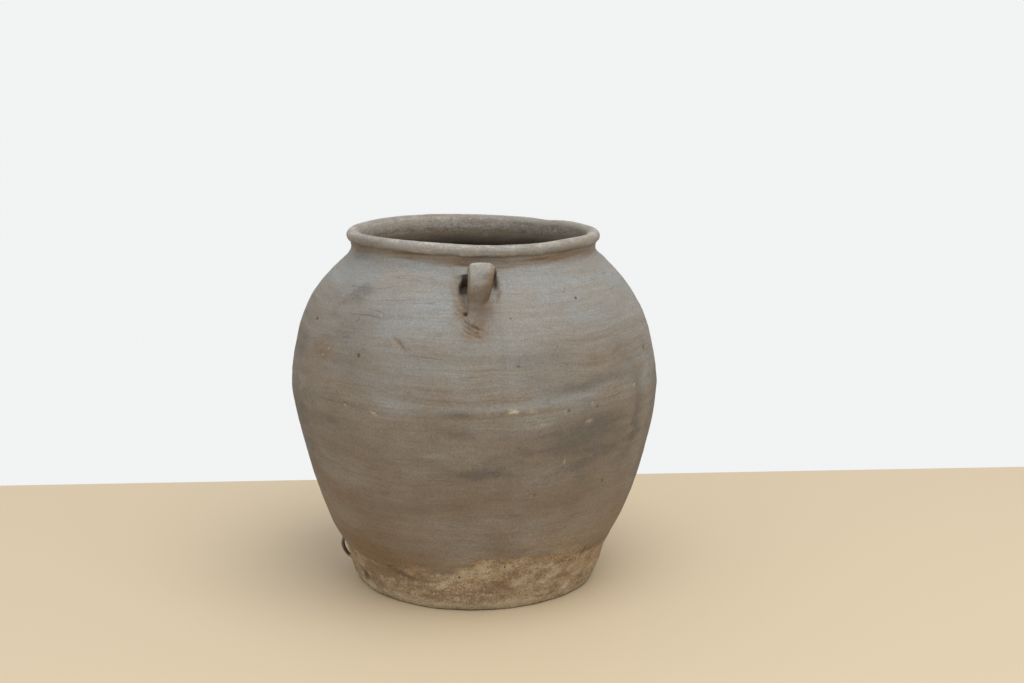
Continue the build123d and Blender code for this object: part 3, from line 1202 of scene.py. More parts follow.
class Draft:
    """Short hand for wiring one node tree. A value is a socket to link or a plain value to set."""

    def __init__(self, tree: bpy.types.NodeTree) -> None:
        """Holds the tree that is wired."""
        self.tree = tree

    def node(self, kind: str, **settings: object) -> bpy.types.Node:
        """Adds a node and sets its properties.

        Args:
            kind: Kind of node.
            settings: Value of each property.

        Returns:
            The node.
        """
        made = self.tree.nodes.new(kind)
        for name, value in settings.items():
            setattr(made, name, value)
        return made

    def feed(self, socket: bpy.types.NodeSocket, value: object) -> None:
        """Links a socket, or sets its value if what is given is a plain value.

        Args:
            socket: The socket.
            value: Another socket or a plain value.
        """
        if isinstance(value, bpy.types.NodeSocket):
            self.tree.links.new(value, socket)
        elif isinstance(value, tuple) and socket.type == "RGBA":
            socket.default_value = (*value, 1.0)
        else:
            socket.default_value = value

    def math(self, operation: str, *values: object, clamp: bool = False) -> bpy.types.NodeSocket:
        """Adds a math node.

        Args:
            operation: What it works out.
            values: Its one to three values.
            clamp: Whether the result is held between 0 and 1.

        Returns:
            The result.
        """
        made = self.node("ShaderNodeMath", operation=operation, use_clamp=clamp)
        for socket, value in zip(made.inputs, values):
            self.feed(socket, value)
        return made.outputs[0]

    def product(self, first: object, second: object) -> bpy.types.NodeSocket:
        """Multiplies two values."""
        return self.math("MULTIPLY", first, second)

    def weigh(self, first: object, second: object, share: float) -> bpy.types.NodeSocket:
        """Averages two values, the first with the given share."""
        return self.math("ADD", self.product(first, share), self.product(second, 1.0 - share))

    def around(self, value: object, swing: float) -> bpy.types.NodeSocket:
        """Turns a value from 0 to 1 into a factor that swings round 1."""
        return self.math("MULTIPLY_ADD", value, swing, 1.0 - swing / 2)

    def vector(self, operation: str, first: object, second: object) -> bpy.types.NodeSocket:
        """Adds a vector math node, for vectors or colours.

        Args:
            operation: What it works out.
            first: Its first vector.
            second: Its second vector, or the factor if it scales.

        Returns:
            The result.
        """
        made = self.node("ShaderNodeVectorMath", operation=operation)
        self.feed(made.inputs[0], first)
        self.feed(made.inputs["Scale" if operation == "SCALE" else 1], second)
        return made.outputs[0]

    def mix(self, share: object, first: object, second: object) -> bpy.types.NodeSocket:
        """Mixes two colours.

        Args:
            share: Share of the second colour.
            first: First colour.
            second: Second colour.

        Returns:
            The mixed colour.
        """
        made = self.node("ShaderNodeMix", data_type="RGBA")
        for socket, value in ((0, share), (6, first), (7, second)):
            self.feed(made.inputs[socket], value)
        return made.outputs[2]

    def spread(self, value: object, low: float, high: float, kind: str = "LINEAR") -> bpy.types.NodeSocket:
        """Stretches the part of a value between low and high to the range from 0 to 1.

        Args:
            value: The value.
            low: What becomes 0.
            high: What becomes 1.
            kind: How it goes from 0 to 1.

        Returns:
            The stretched value.
        """
        made = self.node("ShaderNodeMapRange", interpolation_type=kind)
        for socket, given in (("Value", value), ("From Min", low), ("From Max", high)):
            self.feed(made.inputs[socket], given)
        return made.outputs["Result"]

    def remap(self, value: object, low: float, high: float) -> bpy.types.NodeSocket:
        """Eases a value from 0 at low to 1 at high."""
        return self.spread(value, low, high, "SMOOTHSTEP")

    def noise(
        self, vector: object, scale: object, detail: float, rough: float = 0.55
    ) -> bpy.types.NodeSocket:
        """Adds a noise texture.

        Args:
            vector: Where it is read.
            scale: Its scale.
            detail: How many finer noises are added.
            rough: How strong the finer ones are.

        Returns:
            Its value from 0 to 1.
        """
        made = self.node("ShaderNodeTexNoise")
        for socket, value in (("Vector", vector), ("Scale", scale), ("Detail", detail), ("Roughness", rough)):
            self.feed(made.inputs[socket], value)
        return made.outputs[0]

    def group(self, tree: bpy.types.NodeTree, **values: object) -> bpy.types.bpy_prop_collection:
        """Places a node group.

        Args:
            tree: The group.
            values: Value of each of its inputs.

        Returns:
            Its outputs.
        """
        made = self.node("ShaderNodeGroup", node_tree=tree)
        for name, value in values.items():
            self.feed(made.inputs[name], value)
        return made.outputs


class SocketKind(Enum):
    """Kinds of sockets on a node group."""

    VALUE = "NodeSocketFloat"
    VECTOR = "NodeSocketVector"
    COLOUR = "NodeSocketColor"


class GroupDraft(Draft):
    """Short hand for wiring one node group."""

    def __init__(self, name: str, inputs: dict[str, SocketKind], outputs: dict[str, SocketKind]) -> None:
        """Starts the group with its sockets.

        Args:
            name: Name of the group.
            inputs: Kind of each input.
            outputs: Kind of each output.
        """
        super().__init__(bpy.data.node_groups.new(name, "ShaderNodeTree"))
        for in_out, sockets in (("INPUT", inputs), ("OUTPUT", outputs)):
            for socket, kind in sockets.items():
                self.tree.interface.new_socket(socket, in_out=in_out, socket_type=kind.value)
        self.given = self.node("NodeGroupInput").outputs

    def close(self, **results: bpy.types.NodeSocket) -> bpy.types.NodeTree:
        """Feeds the outputs of the group.

        Args:
            results: What goes to each output.

        Returns:
            The group.
        """
        end = self.node("NodeGroupOutput")
        for name, result in results.items():
            self.feed(end.inputs[name], result)
        return self.tree


class ClayEffects:
    """Node groups for the effects that all the clay finishes share."""

    def __init__(self) -> None:
        """Builds each group once."""
        self.streaks = self._turning_streaks()
        self.clouds = self._fire_clouds()
        self.grit = self._clay_grit()
        self.stain = self._stain_over()

    @staticmethod
    def _turning_streaks() -> bpy.types.NodeTree:
        """Level streaks that wiping and turning left, as a tone, as hair lines and as ridges.

        Returns:
            The group.
        """
        value = SocketKind.VALUE
        draft = GroupDraft(
            "turning_streaks",
            {"Place": SocketKind.VECTOR, "Along": value, "Across": value},
            {"Tone": value, "Line": value, "Ridge": value},
        )
        place, along, across = (draft.given[name] for name in ("Place", "Along", "Across"))
        parts = draft.node("ShaderNodeSeparateXYZ")
        draft.feed(parts.inputs[0], place)
        waver = draft.product(draft.noise(place, 9.0, 2.0), 0.02)
        combined = draft.node("ShaderNodeCombineXYZ")
        draft.feed(combined.inputs[0], draft.product(parts.outputs[0], along))
        draft.feed(combined.inputs[1], draft.product(parts.outputs[1], along))
        draft.feed(combined.inputs[2], draft.product(draft.math("ADD", parts.outputs[2], waver), across))
        drawn = combined.outputs[0]
        broad = draft.noise(drawn, 0.8, 4.0, 0.68)
        fine = draft.noise(drawn, 3.1, 3.0, 0.6)
        off = draft.math("ABSOLUTE", draft.math("SUBTRACT", draft.noise(drawn, 0.9, 1.0), 0.5))
        hair = draft.math("SUBTRACT", 1.0, draft.remap(off, 0.002, 0.016))
        return draft.close(
            Tone=draft.spread(draft.weigh(broad, fine, 0.6), 0.3, 0.7),
            Line=draft.product(hair, draft.remap(fine, 0.45, 0.65)),
            Ridge=fine,
        )

    @staticmethod
    def _fire_clouds() -> bpy.types.NodeTree:
        """Soft clouds from the firing, drawn out a little, with a mottle and a finer fleck.

        Returns:
            The group.
        """
        value = SocketKind.VALUE
        draft = GroupDraft(
            "fire_clouds",
            {"Place": SocketKind.VECTOR, "Scale": value},
            {"Cloud": value, "Mottle": value, "Fleck": value},
        )
        place, scale = draft.given["Place"], draft.given["Scale"]
        drawn = draft.vector("MULTIPLY", place, (1.0, 1.0, 2.1))
        wide = draft.noise(drawn, scale, 5.0, 0.6)
        small = draft.noise(drawn, draft.product(scale, 5.5), 5.0, 0.66)
        least = draft.noise(place, draft.product(scale, 34.0), 4.0, 0.72)
        return draft.close(
            Cloud=draft.remap(wide, 0.3, 0.7),
            Mottle=draft.spread(small, 0.28, 0.72),
            Fleck=draft.spread(least, 0.3, 0.7),
        )

    @staticmethod
    def _clay_grit() -> bpy.types.NodeTree:
        """Sand grains, pores and the rough of open clay.

        Returns:
            The group.
        """
        value = SocketKind.VALUE
        draft = GroupDraft(
            "clay_grit",
            {"Place": SocketKind.VECTOR, "Scale": value},
            {"Grain": value, "Pore": value, "Rough": value},
        )
        place, scale = draft.given["Place"], draft.given["Scale"]
        bend = draft.noise(place, scale, 2.0, 0.5).node.outputs["Color"]
        cells = draft.node("ShaderNodeTexVoronoi")
        draft.feed(cells.inputs["Vector"], draft.vector("ADD", place, draft.vector("SCALE", bend, 0.0012)))
        draft.feed(cells.inputs["Scale"], scale)
        chance = draft.node("ShaderNodeSeparateColor")
        draft.feed(chance.inputs[0], cells.outputs["Color"])
        core = draft.math("SUBTRACT", 1.0, draft.remap(cells.outputs["Distance"], 0.08, 0.45))
        return draft.close(
            Grain=draft.product(core, draft.remap(chance.outputs[0], 0.9, 0.99)),
            Pore=draft.product(core, draft.remap(chance.outputs[1], 0.86, 0.98)),
            Rough=draft.noise(place, draft.product(scale, 0.6), 5.0, 0.65),
        )

    @staticmethod
    def _stain_over() -> bpy.types.NodeTree:
        """Lays a stain over a colour where it is painted, with a broken edge.

        Returns:
            The group.
        """
        value, colour = SocketKind.VALUE, SocketKind.COLOUR
        draft = GroupDraft(
            "stain_over",
            {
                "Under": colour,
                "Stain": colour,
                "Paint": value,
                "Break": value,
                "Ragged": value,
                "Cover": value,
            },
            {"Colour": colour, "Mask": value},
        )
        given = draft.given
        shift = draft.product(draft.math("SUBTRACT", given["Break"], 0.5), given["Ragged"])
        shift = draft.product(shift, draft.remap(given["Paint"], 0.0, 0.25))
        lifted = draft.math("ADD", given["Paint"], shift)
        mask = draft.math("MULTIPLY", draft.remap(lifted, 0.02, 0.98), given["Cover"], clamp=True)
        return draft.close(Colour=draft.mix(mask, given["Under"], given["Stain"]), Mask=mask)


@dataclass(frozen=True)
class ClayFinish:
    """One finish of the fired clay: its colours and how strongly the shared effects show."""

    slot: str
    body: Colour = srgb(136, 126, 114)
    shade: Colour = srgb(123, 110, 95)
    ash: Colour = srgb(142, 144, 143)
    ash_warm: Colour = srgb(146, 142, 135)
    # Smoky colour, also laid as painted shade
    smoke: Colour = srgb(87, 82, 76)
    rust: Colour = srgb(121, 97, 71)
    # Pale deposit colour, also laid as painted highlights and painted light
    lime: Colour = srgb(188, 174, 150)
    raw: Colour = srgb(170, 147, 119)
    raw_shade: Colour = srgb(149, 127, 100)
    raw_pale: Colour = srgb(184, 166, 139)
    raw_dark: Colour = srgb(116, 95, 72)
    # Dark dirt colour, also laid in pores and hair lines and as painted shade
    grime: Colour = srgb(66, 51, 38)
    grain: Colour = srgb(172, 162, 146)
    # Factors on the colour where the tone is warm and where it is cool
    warm: Colour = (1.035, 1.0, 0.95)
    cool: Colour = (0.965, 1.0, 1.045)
    cloud_scale: float = 16.0
    streak_along: float = 9.0
    streak_across: float = 210.0
    grit_scale: float = 700.0
    # How far each effect makes the colour lighter and darker
    streak_tone: float = 0.28
    mottle_tone: float = 0.21
    fleck_tone: float = 0.38
    # How much of its own colour each small effect lays on
    grain_share: float = 0.3
    pore_share: float = 0.4
    line_share: float = 0.38
    roughness: float = 0.78
    roughness_swing: float = 0.14
    shine: float = 0.4
    relief: float = 0.4
    # Height of the fine relief in metres
    relief_height: float = 0.0011

    def material(self, effects: ClayEffects) -> bpy.types.Material:
        """Builds the material.

        Args:
            effects: The shared node groups.

        Returns:
            The material.
        """
        made = bpy.data.materials.new(self.slot)
        made.use_nodes = True
        draft = Draft(made.node_tree)
        shader = made.node_tree.nodes["Principled BSDF"]
        place = draft.node("ShaderNodeTexCoord").outputs["Object"]
        clouds = draft.group(effects.clouds, Place=place, Scale=self.cloud_scale)
        streaks = draft.group(
            effects.streaks, Place=place, Along=self.streak_along, Across=self.streak_across
        )
        grit = draft.group(effects.grit, Place=place, Scale=self.grit_scale)
        mottle, tone = clouds["Mottle"], streaks["Tone"]

        colour, bare = self._stained(draft, effects, clouds, tone)
        light = draft.product(draft.around(tone, self.streak_tone), draft.around(mottle, self.mottle_tone))
        light = draft.product(light, draft.around(clouds["Fleck"], self.fleck_tone))
        tint = draft.mix(draft.remap(draft.weigh(mottle, tone, 0.5), 0.25, 0.75), self.warm, self.cool)
        colour = draft.vector("MULTIPLY", draft.vector("SCALE", colour, light), tint)
        colour = draft.mix(draft.product(grit["Grain"], self.grain_share), colour, self.grain)
        colour = draft.mix(draft.product(grit["Pore"], self.pore_share), colour, self.grime)
        colour = draft.mix(draft.product(streaks["Line"], self.line_share), colour, self.grime)
        draft.feed(shader.inputs["Base Color"], colour)

        height = draft.product(grit["Rough"], draft.math("MULTIPLY_ADD", bare, 1.1, 0.55))
        height = draft.math("ADD", height, draft.product(streaks["Ridge"], 0.45))
        height = draft.math("SUBTRACT", height, draft.product(grit["Pore"], 0.3))
        bump = draft.node("ShaderNodeBump")
        bumps = (("Strength", self.relief), ("Distance", self.relief_height), ("Height", height))
        for socket, value in bumps:
            draft.feed(bump.inputs[socket], value)
        draft.feed(shader.inputs["Normal"], bump.outputs["Normal"])
        least_rough = self.roughness - self.roughness_swing / 2
        rough = draft.math("MULTIPLY_ADD", mottle, self.roughness_swing, least_rough)
        draft.feed(shader.inputs["Roughness"], rough)
        shader.inputs["Specular IOR Level"].default_value = self.shine
        return made

    def _stained(
        self,
        draft: Draft,
        effects: ClayEffects,
        clouds: bpy.types.bpy_prop_collection,
        tone: bpy.types.NodeSocket,
    ) -> tuple[bpy.types.NodeSocket, bpy.types.NodeSocket]:
        """Lays the painted layers over the clay body, one after the other.

        Args:
            draft: Draft of the material.
            effects: The shared node groups.
            clouds: Outputs of the fire clouds.
            tone: Tone of the streaks.

        Returns:
            The colour, and where the clay is bare.
        """
        cloud, mottle, fleck = (clouds[name] for name in ("Cloud", "Mottle", "Fleck"))
        paint = {}
        for layer in Layer:
            paint[layer] = draft.node("ShaderNodeAttribute", attribute_name=layer.value).outputs["Fac"]
        fine = draft.weigh(mottle, fleck, 0.5)
        streaky = draft.weigh(mottle, tone, 0.6)
        hue = draft.weigh(cloud, mottle, 0.6)
        ash = draft.mix(draft.remap(hue, 0.2, 0.8), self.ash, self.ash_warm)
        raw = draft.mix(draft.remap(hue, 0.3, 0.65), self.raw_shade, self.raw)
        open_share = draft.remap(paint[Layer.RAW], 0.45, 0.85)
        raw = draft.mix(draft.product(draft.remap(fleck, 0.55, 0.85), open_share), raw, self.raw_pale)
        raw = draft.mix(draft.product(draft.remap(fleck, 0.34, 0.1), open_share), raw, self.raw_dark)
        colour = draft.mix(cloud, self.body, self.shade)
        masks = {}
        for layer, stain, broken, ragged, cover in (
            (Layer.RAW, raw, fine, 0.4, 0.95),
            (Layer.ASH, ash, tone, 0.42, 0.92),
            (Layer.SMOKE, self.smoke, streaky, 0.75, 0.72),
            (Layer.RUST, self.rust, mottle, 0.55, 0.8),
            (Layer.LIME_AND_LIGHT, self.lime, fine, 1.0, 0.8),
            (Layer.GRIME_AND_SHADE, self.grime, fine, 0.5, 0.85),
        ):
            given = {"Under": colour, "Stain": stain, "Paint": paint[layer]}
            laid = draft.group(effects.stain, **given, Break=broken, Ragged=ragged, Cover=cover)
            colour = laid["Colour"]
            masks[layer] = laid["Mask"]
        return colour, masks[Layer.RAW]


class Finish(Enum):
    """The jar's four finishes, one material each."""

    SMOKED = ClayFinish("smoked_clay")
    RIM = ClayFinish(
        "rim_clay", body=srgb(150, 141, 129), shade=srgb(134, 123, 110), lime=srgb(196, 186, 172), relief=0.35
    )
    FOOT = ClayFinish(
        "foot_clay", body=srgb(166, 143, 117), shade=srgb(140, 119, 92), cloud_scale=20.0, relief=0.5
    )
    INNER = ClayFinish("inner_clay", body=srgb(132, 117, 100), shade=srgb(112, 98, 82))


class Kiln:
    """Gives the members that the jar was built from their finishes and their places in the frame."""

    def __init__(self) -> None:
        """Builds the material of each finish."""
        effects = ClayEffects()
        self._materials = {finish: finish.value.material(effects) for finish in Finish}

    def fire(self, mesh: RingMesh, node: str, finish: Finish) -> bpy.types.Object:
        """Makes a finished piece that rides on the jar and stands for a node of the solids.

        Args:
            mesh: Mesh of the piece.
            node: Node that it stands for.
            finish: Its finish.

        Returns:
            The piece.
        """
        made = mesh.object(f"{node}_worn", self._materials[finish])
        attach(made, "root")
        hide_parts(node)
        return made


@dataclass
class WallShell:
    """The two built walls, the floor slab, the corner coil, the luting strip and the rolled rim."""

    skin: WornSkin
    kiln: Kiln
    coil_leg: float = 15.0
    strip_width: float = 17.0
    strip_proud: float = 0.8
    strip_seat: float = 1.6
    roll_half_height: float = 5.3
    roll_skirt: float = 14.0
    roll_feather: float = 1.9
    # Heights of the joint between the two walls
    joint_outside: float = 208.0
    joint_inside: float = 211.0
    fine: Array = field(init=False)
    coarse: Array = field(init=False)

    # Bands of azimuth round a ring and the step in each, closer together at the lugs
    TURNS = (
        (-78.0, -13.0, 0.46),
        (-13.0, 13.0, 0.22),
        (13.0, 78.0, 0.46),
        (78.0, 167.0, 0.85),
        (167.0, 193.0, 0.42),
        (193.0, 282.0, 0.85),
    )
    # Bands of height on the outside and inside, and the distance between the rings in each
    OUTER_ROWS = ((0.0, 62.0, 1.5), (62.0, 180.0, 2.3), (180.0, 268.0, 1.75), (268.0, 350.0, 0.95))
    INNER_ROWS = ((0.0, 312.0, 7.0), (312.0, 350.0, 2.2))
    # Radii of the rings inside the floor slab's edge, above and below
    FLOOR_RINGS = (60.0, 20.0)
    SOLE_RINGS = (115.0, 80.0, 30.0)
    # Angles round the section of the roll, from straight down outwards and over
    ROLL_TURNS = np.radians(np.linspace(-90.0, 270.0, 33))
    # Chips inside the mouth, each only painted, as painted shade with a painted highlight beside it: azimuth,
    # height and half sizes in degrees and millimetres
    INNER_CHIPS = (
        (-169.0, 345.5, 0.7, 2.2),
        (-169.4, 340.0, 0.8, 1.6),
        (150.5, 335.5, 2.2, 1.3),
        (131.0, 342.5, 0.8, 2.0),
        (174.5, 331.5, 1.8, 0.9),
        (-150.0, 337.0, 1.2, 0.8),
        (-128.0, 334.0, 1.4, 1.0),
        (162.0, 339.0, 0.8, 0.8),
    )
    # Rubbed spots on the roll: azimuth, angle round its section, width in azimuth and strength
    RIM_SPOTS = (
        (-21.0, -10.0, 3.2, 0.55),
        (-25.0, 20.0, 2.0, 0.3),
        (135.0, 95.0, 4.0, 0.6),
        (-123.5, 120.0, 5.0, 0.5),
        (8.0, -36.0, 2.0, 0.6),
        (14.0, -34.0, 1.6, 0.5),
        (34.0, 55.0, 3.0, 0.35),
    )

    def __post_init__(self) -> None:
        """Works out the azimuths of a fine ring, in fours for the coarse rings."""
        runs = []
        for start, end, step in self.TURNS:
            count = RingMesh.COARSE_SHARE * round((end - start) / step / RingMesh.COARSE_SHARE)
            runs.append(np.linspace(start, end, count, endpoint=False))
        self.fine = np.concatenate(runs)
        self.coarse = self.fine[:: RingMesh.COARSE_SHARE]

    def _heights(self, low: float, high: float, rows: tuple[tuple[float, float, float], ...]) -> Array:
        """Heights of the rings between two heights.

        Args:
            low: First height.
            high: Last height.
            rows: Bands of height, each with the distance between its rings.

        Returns:
            The heights, with both ends.
        """
        runs = [np.array((low,))]
        for start, end, pitch in rows:
            first, last = max(low, start), min(high, end)
            if first < last:
                runs.append(self.skin.form.heights_between(first, last, pitch)[1:])
        return np.concatenate(runs)

    def _outer(self, mesh: RingMesh, low: float, high: float) -> list[int]:
        """Adds the worn outside of the wall between two heights, from the bottom up.

        Args:
            mesh: Mesh to add to.
            low: First height.
            high: Last height.

        Returns:
            The numbers of the rings.
        """
        heights = self._heights(low, high, self.OUTER_ROWS)
        spots = self.skin.spots(*grid(self.fine, heights))
        points = self.skin.place(spots.azimuth, spots.height, self.skin.relief(spots))
        return mesh.rows(points, self.skin.stains_and_shade(spots), len(self.fine))

    def _inner(self, mesh: RingMesh, low: float, high: float) -> list[int]:
        """Adds the inside of the wall between two heights, from the top down.

        Args:
            mesh: Mesh to add to.
            low: Last height.
            high: First height.

        Returns:
            The numbers of the rings.
        """
        skin = self.skin
        heights = self._heights(low, high, self.INNER_ROWS)[::-1]
        spots = skin.spots(*grid(self.coarse, heights))
        uneven = 0.5 * skin.swell.at(spots.points, 40.0)
        uneven += 0.35 * skin.rings.at(spots.points, (120.0, 120.0, 12.0))
        lift = uneven * (1.0 - 0.8 * ease(312.0, 330.0, spots.height)) - skin.form.sizes.wall
        points = skin.place(spots.azimuth, spots.height, lift)
        return mesh.rows(points, self._inner_paint(spots), len(self.coarse))

    def _inner_paint(self, spots: Spots) -> Paint:
        """What is painted on the inside: brown and handled at the neck, with painted light on the lit side of
        the mouth and painted shade further down.

        Args:
            spots: Places on the wall, counted on its outside.

        Returns:
            The values of each layer.
        """
        skin, seen, height = self.skin, spots.seen, spots.height
        drag = skin.clouds.at(spots.points, (80.0, 80.0, 9.0))
        patch = skin.clouds.at(spots.points, 34.0)
        lines = skin.rings.at(spots.points, (70.0, 70.0, 2.6))
        # Side of the mouth that the key lamp lights: painted paler there as painted light
        lit = hump(apart(seen, -135.0), 0.0, 60.0)
        # Painted shade that deepens down into the jar, where the overhang keeps light out
        deep_shade = 1.0 - ease(324.0, 345.0, height + 4.0 * drag + 13.0 * lit)
        deep_shade *= 0.55 + 0.45 * ease(90.0, 300.0, height)
        paint = bare_paint(len(height), rust=0.3, smoke=0.06)
        paint[Layer.ASH] += ease(333.0, 346.0, height) * (0.3 + 0.6 * lit + 0.25 * patch)
        paint[Layer.LIME_AND_LIGHT] += ease(327.0, 344.0, height) * (0.24 + 0.66 * lit + 0.2 * drag)
        paint[Layer.RUST] *= 1.0 - 0.7 * lit * ease(328.0, 338.0, height)
        paint[Layer.RUST] += 0.3 * drag + 0.1 * patch
        paint[Layer.SMOKE] += 0.5 * deep_shade + 0.2 * patch
        paint[Layer.GRIME_AND_SHADE] += 0.55 * deep_shade + 0.1 * drag + 0.24 * ease(0.1, 0.7, lines)
        # Painted shade of each chip, with its painted highlight a little to the left and below
        for centre, level, width, tall in self.INNER_CHIPS:
            paint[Layer.GRIME_AND_SHADE] += 0.5 * hump(seen, centre, width) * hump(height, level, tall)
            paint[Layer.LIME_AND_LIGHT] += 0.5 * hump(seen, centre - 1.6, width) * hump(height, level - 0.8, tall)
        return clipped(paint)

    def _wall(self, node: str, outside: tuple[float, float], inside: tuple[float, float]) -> bpy.types.Object:
        """Builds one wall as a closed shell.

        Args:
            node: Node that it stands for.
            outside: First and last height on the outside.
            inside: First and last height on the inside.

        Returns:
            The wall.
        """
        mesh = RingMesh()
        outer = self._outer(mesh, *outside)
        inner = self._inner(mesh, *inside)
        mesh.join(outer[-1], inner[0])
        mesh.join(inner[-1], outer[0])
        return self.kiln.fire(mesh, node, Finish.SMOKED)

    def build_lower_wall(self) -> bpy.types.Object:
        """Builds the flared lower wall."""
        sizes = self.skin.form.sizes
        outside = (sizes.slab_edge, self.joint_outside)
        return self._wall("lower_wall", outside, (sizes.floor_thickness, self.joint_inside))

    def build_upper_wall(self) -> bpy.types.Object:
        """Builds the shoulder and the neck."""
        top = self.skin.form.sizes.tongue_top
        return self._wall("upper_wall", (self.joint_outside, top), (self.joint_inside, top))

    def build_belt_strip(self) -> bpy.types.Object:
        """Builds the luting strip, with a crisp lower edge and a feathered upper one.

        Returns:
            The strip.
        """
        skin, width = self.skin, len(self.fine)
        belt = skin.form.sizes.belt_height
        across = np.concatenate(((0.0, 0.05, 0.1), np.linspace(0.17, 0.93, 11), (1.0,)))
        azimuth, share = grid(self.fine, across)
        plain = turned(azimuth, skin.form.radius(belt), belt)
        tall = self.strip_width + 3.0 * skin.ragged.at(plain, 30.0)
        spots = skin.spots(azimuth, skin.strip_edge(azimuth, plain) + share * tall)
        crisp = skin.strip_line(azimuth)
        swell = ease(0.0, 0.55 - 0.42 * crisp, share) * (1.0 - ease(0.5, 1.0, share))
        sunk = 0.15 + 0.25 * crisp
        proud = self.strip_proud * (0.25 + 0.75 * crisp) * (0.9 + 0.3 * skin.ragged.at(plain, 16.0))
        relief = skin.relief(spots)
        points = skin.place(azimuth, spots.height, relief - sunk + (sunk + proud) * swell)
        back = skin.place(azimuth, spots.height, relief - self.strip_seat)
        paint = skin.stains_and_shade(spots)
        # Painted shadow along the strip's lower edge and a painted highlight just above it, both where the
        # edge is crisp
        under = hump(share, 0.07, 0.06) * ease(-0.4, 0.5, skin.ragged.at(plain, 12.0))
        edge_highlight = hump(share, 0.15, 0.05) * ease(0.0, 0.5, skin.ragged.at(plain, 7.0))
        paint[Layer.GRIME_AND_SHADE] += 0.4 * crisp * under
        paint[Layer.LIME_AND_LIGHT] += 0.55 * crisp * edge_highlight
        mesh = RingMesh()
        rows = mesh.rows(points, clipped(paint), width)
        upper_back = mesh.ring(back[-width:], bare_paint(width))
        lower_back = mesh.ring(back[:width], bare_paint(width))
        mesh.chain([rows[-1], upper_back, lower_back, rows[0]])
        return self.kiln.fire(mesh, "belt_strip", Finish.SMOKED)

    def build_base_slab(self) -> bpy.types.Object:
        """Builds the floor slab: worn edge outside, plain floor inside, flat underside.

        Returns:
            The slab.
        """
        skin, sizes, count = self.skin, self.skin.form.sizes, len(self.coarse)
        mesh = RingMesh()
        edge = self._outer(mesh, 0.0, sizes.slab_edge)
        floor = turned(self.coarse, sizes.foot_radius - sizes.wall, sizes.floor_thickness)
        inside = [mesh.ring(floor, bare_paint(count, rust=0.4, smoke=0.4))]
        for radius in self.FLOOR_RINGS:
            floor = turned(self.coarse, radius, sizes.floor_thickness)
            floor[:, 2] += 0.5 * skin.swell.at(floor, 30.0)
            inside.append(mesh.ring(floor, bare_paint(count, rust=0.4, smoke=0.4)))
        below = []
        for radius in self.SOLE_RINGS:
            sole = turned(self.coarse, radius, 0.0)
            below.append(mesh.ring(sole, bare_paint(count, raw=1.0, rust=0.3, grime=0.15)))
        mesh.chain([*below[::-1], edge[0]])
        mesh.chain([edge[-1], *inside])
        mesh.cap(inside[-1], (0.0, 0.0, sizes.floor_thickness), 0.3, True)
        mesh.cap(below[-1], (0.0, 0.0, 0.0), 0.3, False)
        return self.kiln.fire(mesh, "base_slab", Finish.FOOT)

    def build_corner_coil(self) -> bpy.types.Object:
        """Builds the coil pressed into the corner of floor and wall.

        Returns:
            The coil.
        """
        sizes = self.skin.form.sizes
        corner = sizes.foot_radius - sizes.wall
        floor = sizes.floor_thickness
        section = (
            (corner + 6.0, floor - 0.5),
            (corner + 5.0, floor + self.coil_leg),
            (corner + 1.5, floor + 9.0),
            (corner - 4.0, floor + 4.0),
            (corner - self.coil_leg, floor - 0.2),
        )
        mesh = RingMesh()
        rings = []
        for radius, height in section:
            ring = turned(self.coarse, radius, height)
            ring[:, 2] += 0.5 * self.skin.swell.at(ring, 18.0)
            rings.append(mesh.ring(ring, bare_paint(len(ring), rust=0.35, smoke=0.35)))
        mesh.chain([*rings, rings[0]])
        return self.kiln.fire(mesh, "corner_coil", Finish.INNER)

    def build_rim_roll(self) -> bpy.types.Object:
        """Builds the rolled rim, uneven under its outer edge where the thumb pressed it on.

        Returns:
            The rim.
        """
        skin, sizes = self.skin, self.skin.form.sizes
        half_width, half_height = sizes.roll_thickness / 2, self.roll_half_height
        centre_radius = sizes.neck_radius + sizes.roll_overhang - half_width
        centre_height = sizes.height - half_height
        azimuth, turn = grid(self.fine, self.ROLL_TURNS)
        bearing, out, up = np.degrees(turn), np.cos(turn), np.sin(turn)
        plain = turned(azimuth, centre_radius + half_width * out, centre_height + half_height * up)
        lift = 0.30 * skin.swell.at(plain, 34.0) + 0.16 * skin.swell.at(plain, 11.0)
        uneven = 0.1 + 0.9 * skin.ragged.at(plain, 15.0) + 0.6 * skin.ragged.at(plain, 6.0)
        lift += hump(bearing, -45.0, 32.0) * uneven
        lift -= 0.5 * ease(0.5, 0.9, skin.ragged.at(plain, 7.0))
        pressed = 1.0 - 0.5 * hump(skin.seen(azimuth), -6.0, 30.0) * (out > 0.0) * (up < 0.0)
        radius = centre_radius + (half_width + lift) * np.sign(out) * np.abs(out) ** pressed
        height = centre_height + (half_height + lift) * np.sign(up) * np.abs(up) ** pressed
        skirt = np.clip((bearing - 180.0) / 90.0, 0.0, None)
        feathered = centre_radius - half_width - lift + self.roll_feather * skirt**2
        radius = np.where(skirt > 0.0, feathered, radius)
        height = np.where(skirt > 0.0, centre_height - self.roll_skirt * skirt, height)
        paint = self._rim_paint(skin.spots(azimuth, height), bearing, plain)
        mesh = RingMesh()
        points = turned(azimuth, radius, height + skin.rim_warp(azimuth))
        rows = mesh.rows(points, paint, len(self.fine))
        mesh.join(rows[-1], rows[0])
        return self.kiln.fire(mesh, "rim_roll", Finish.RIM)

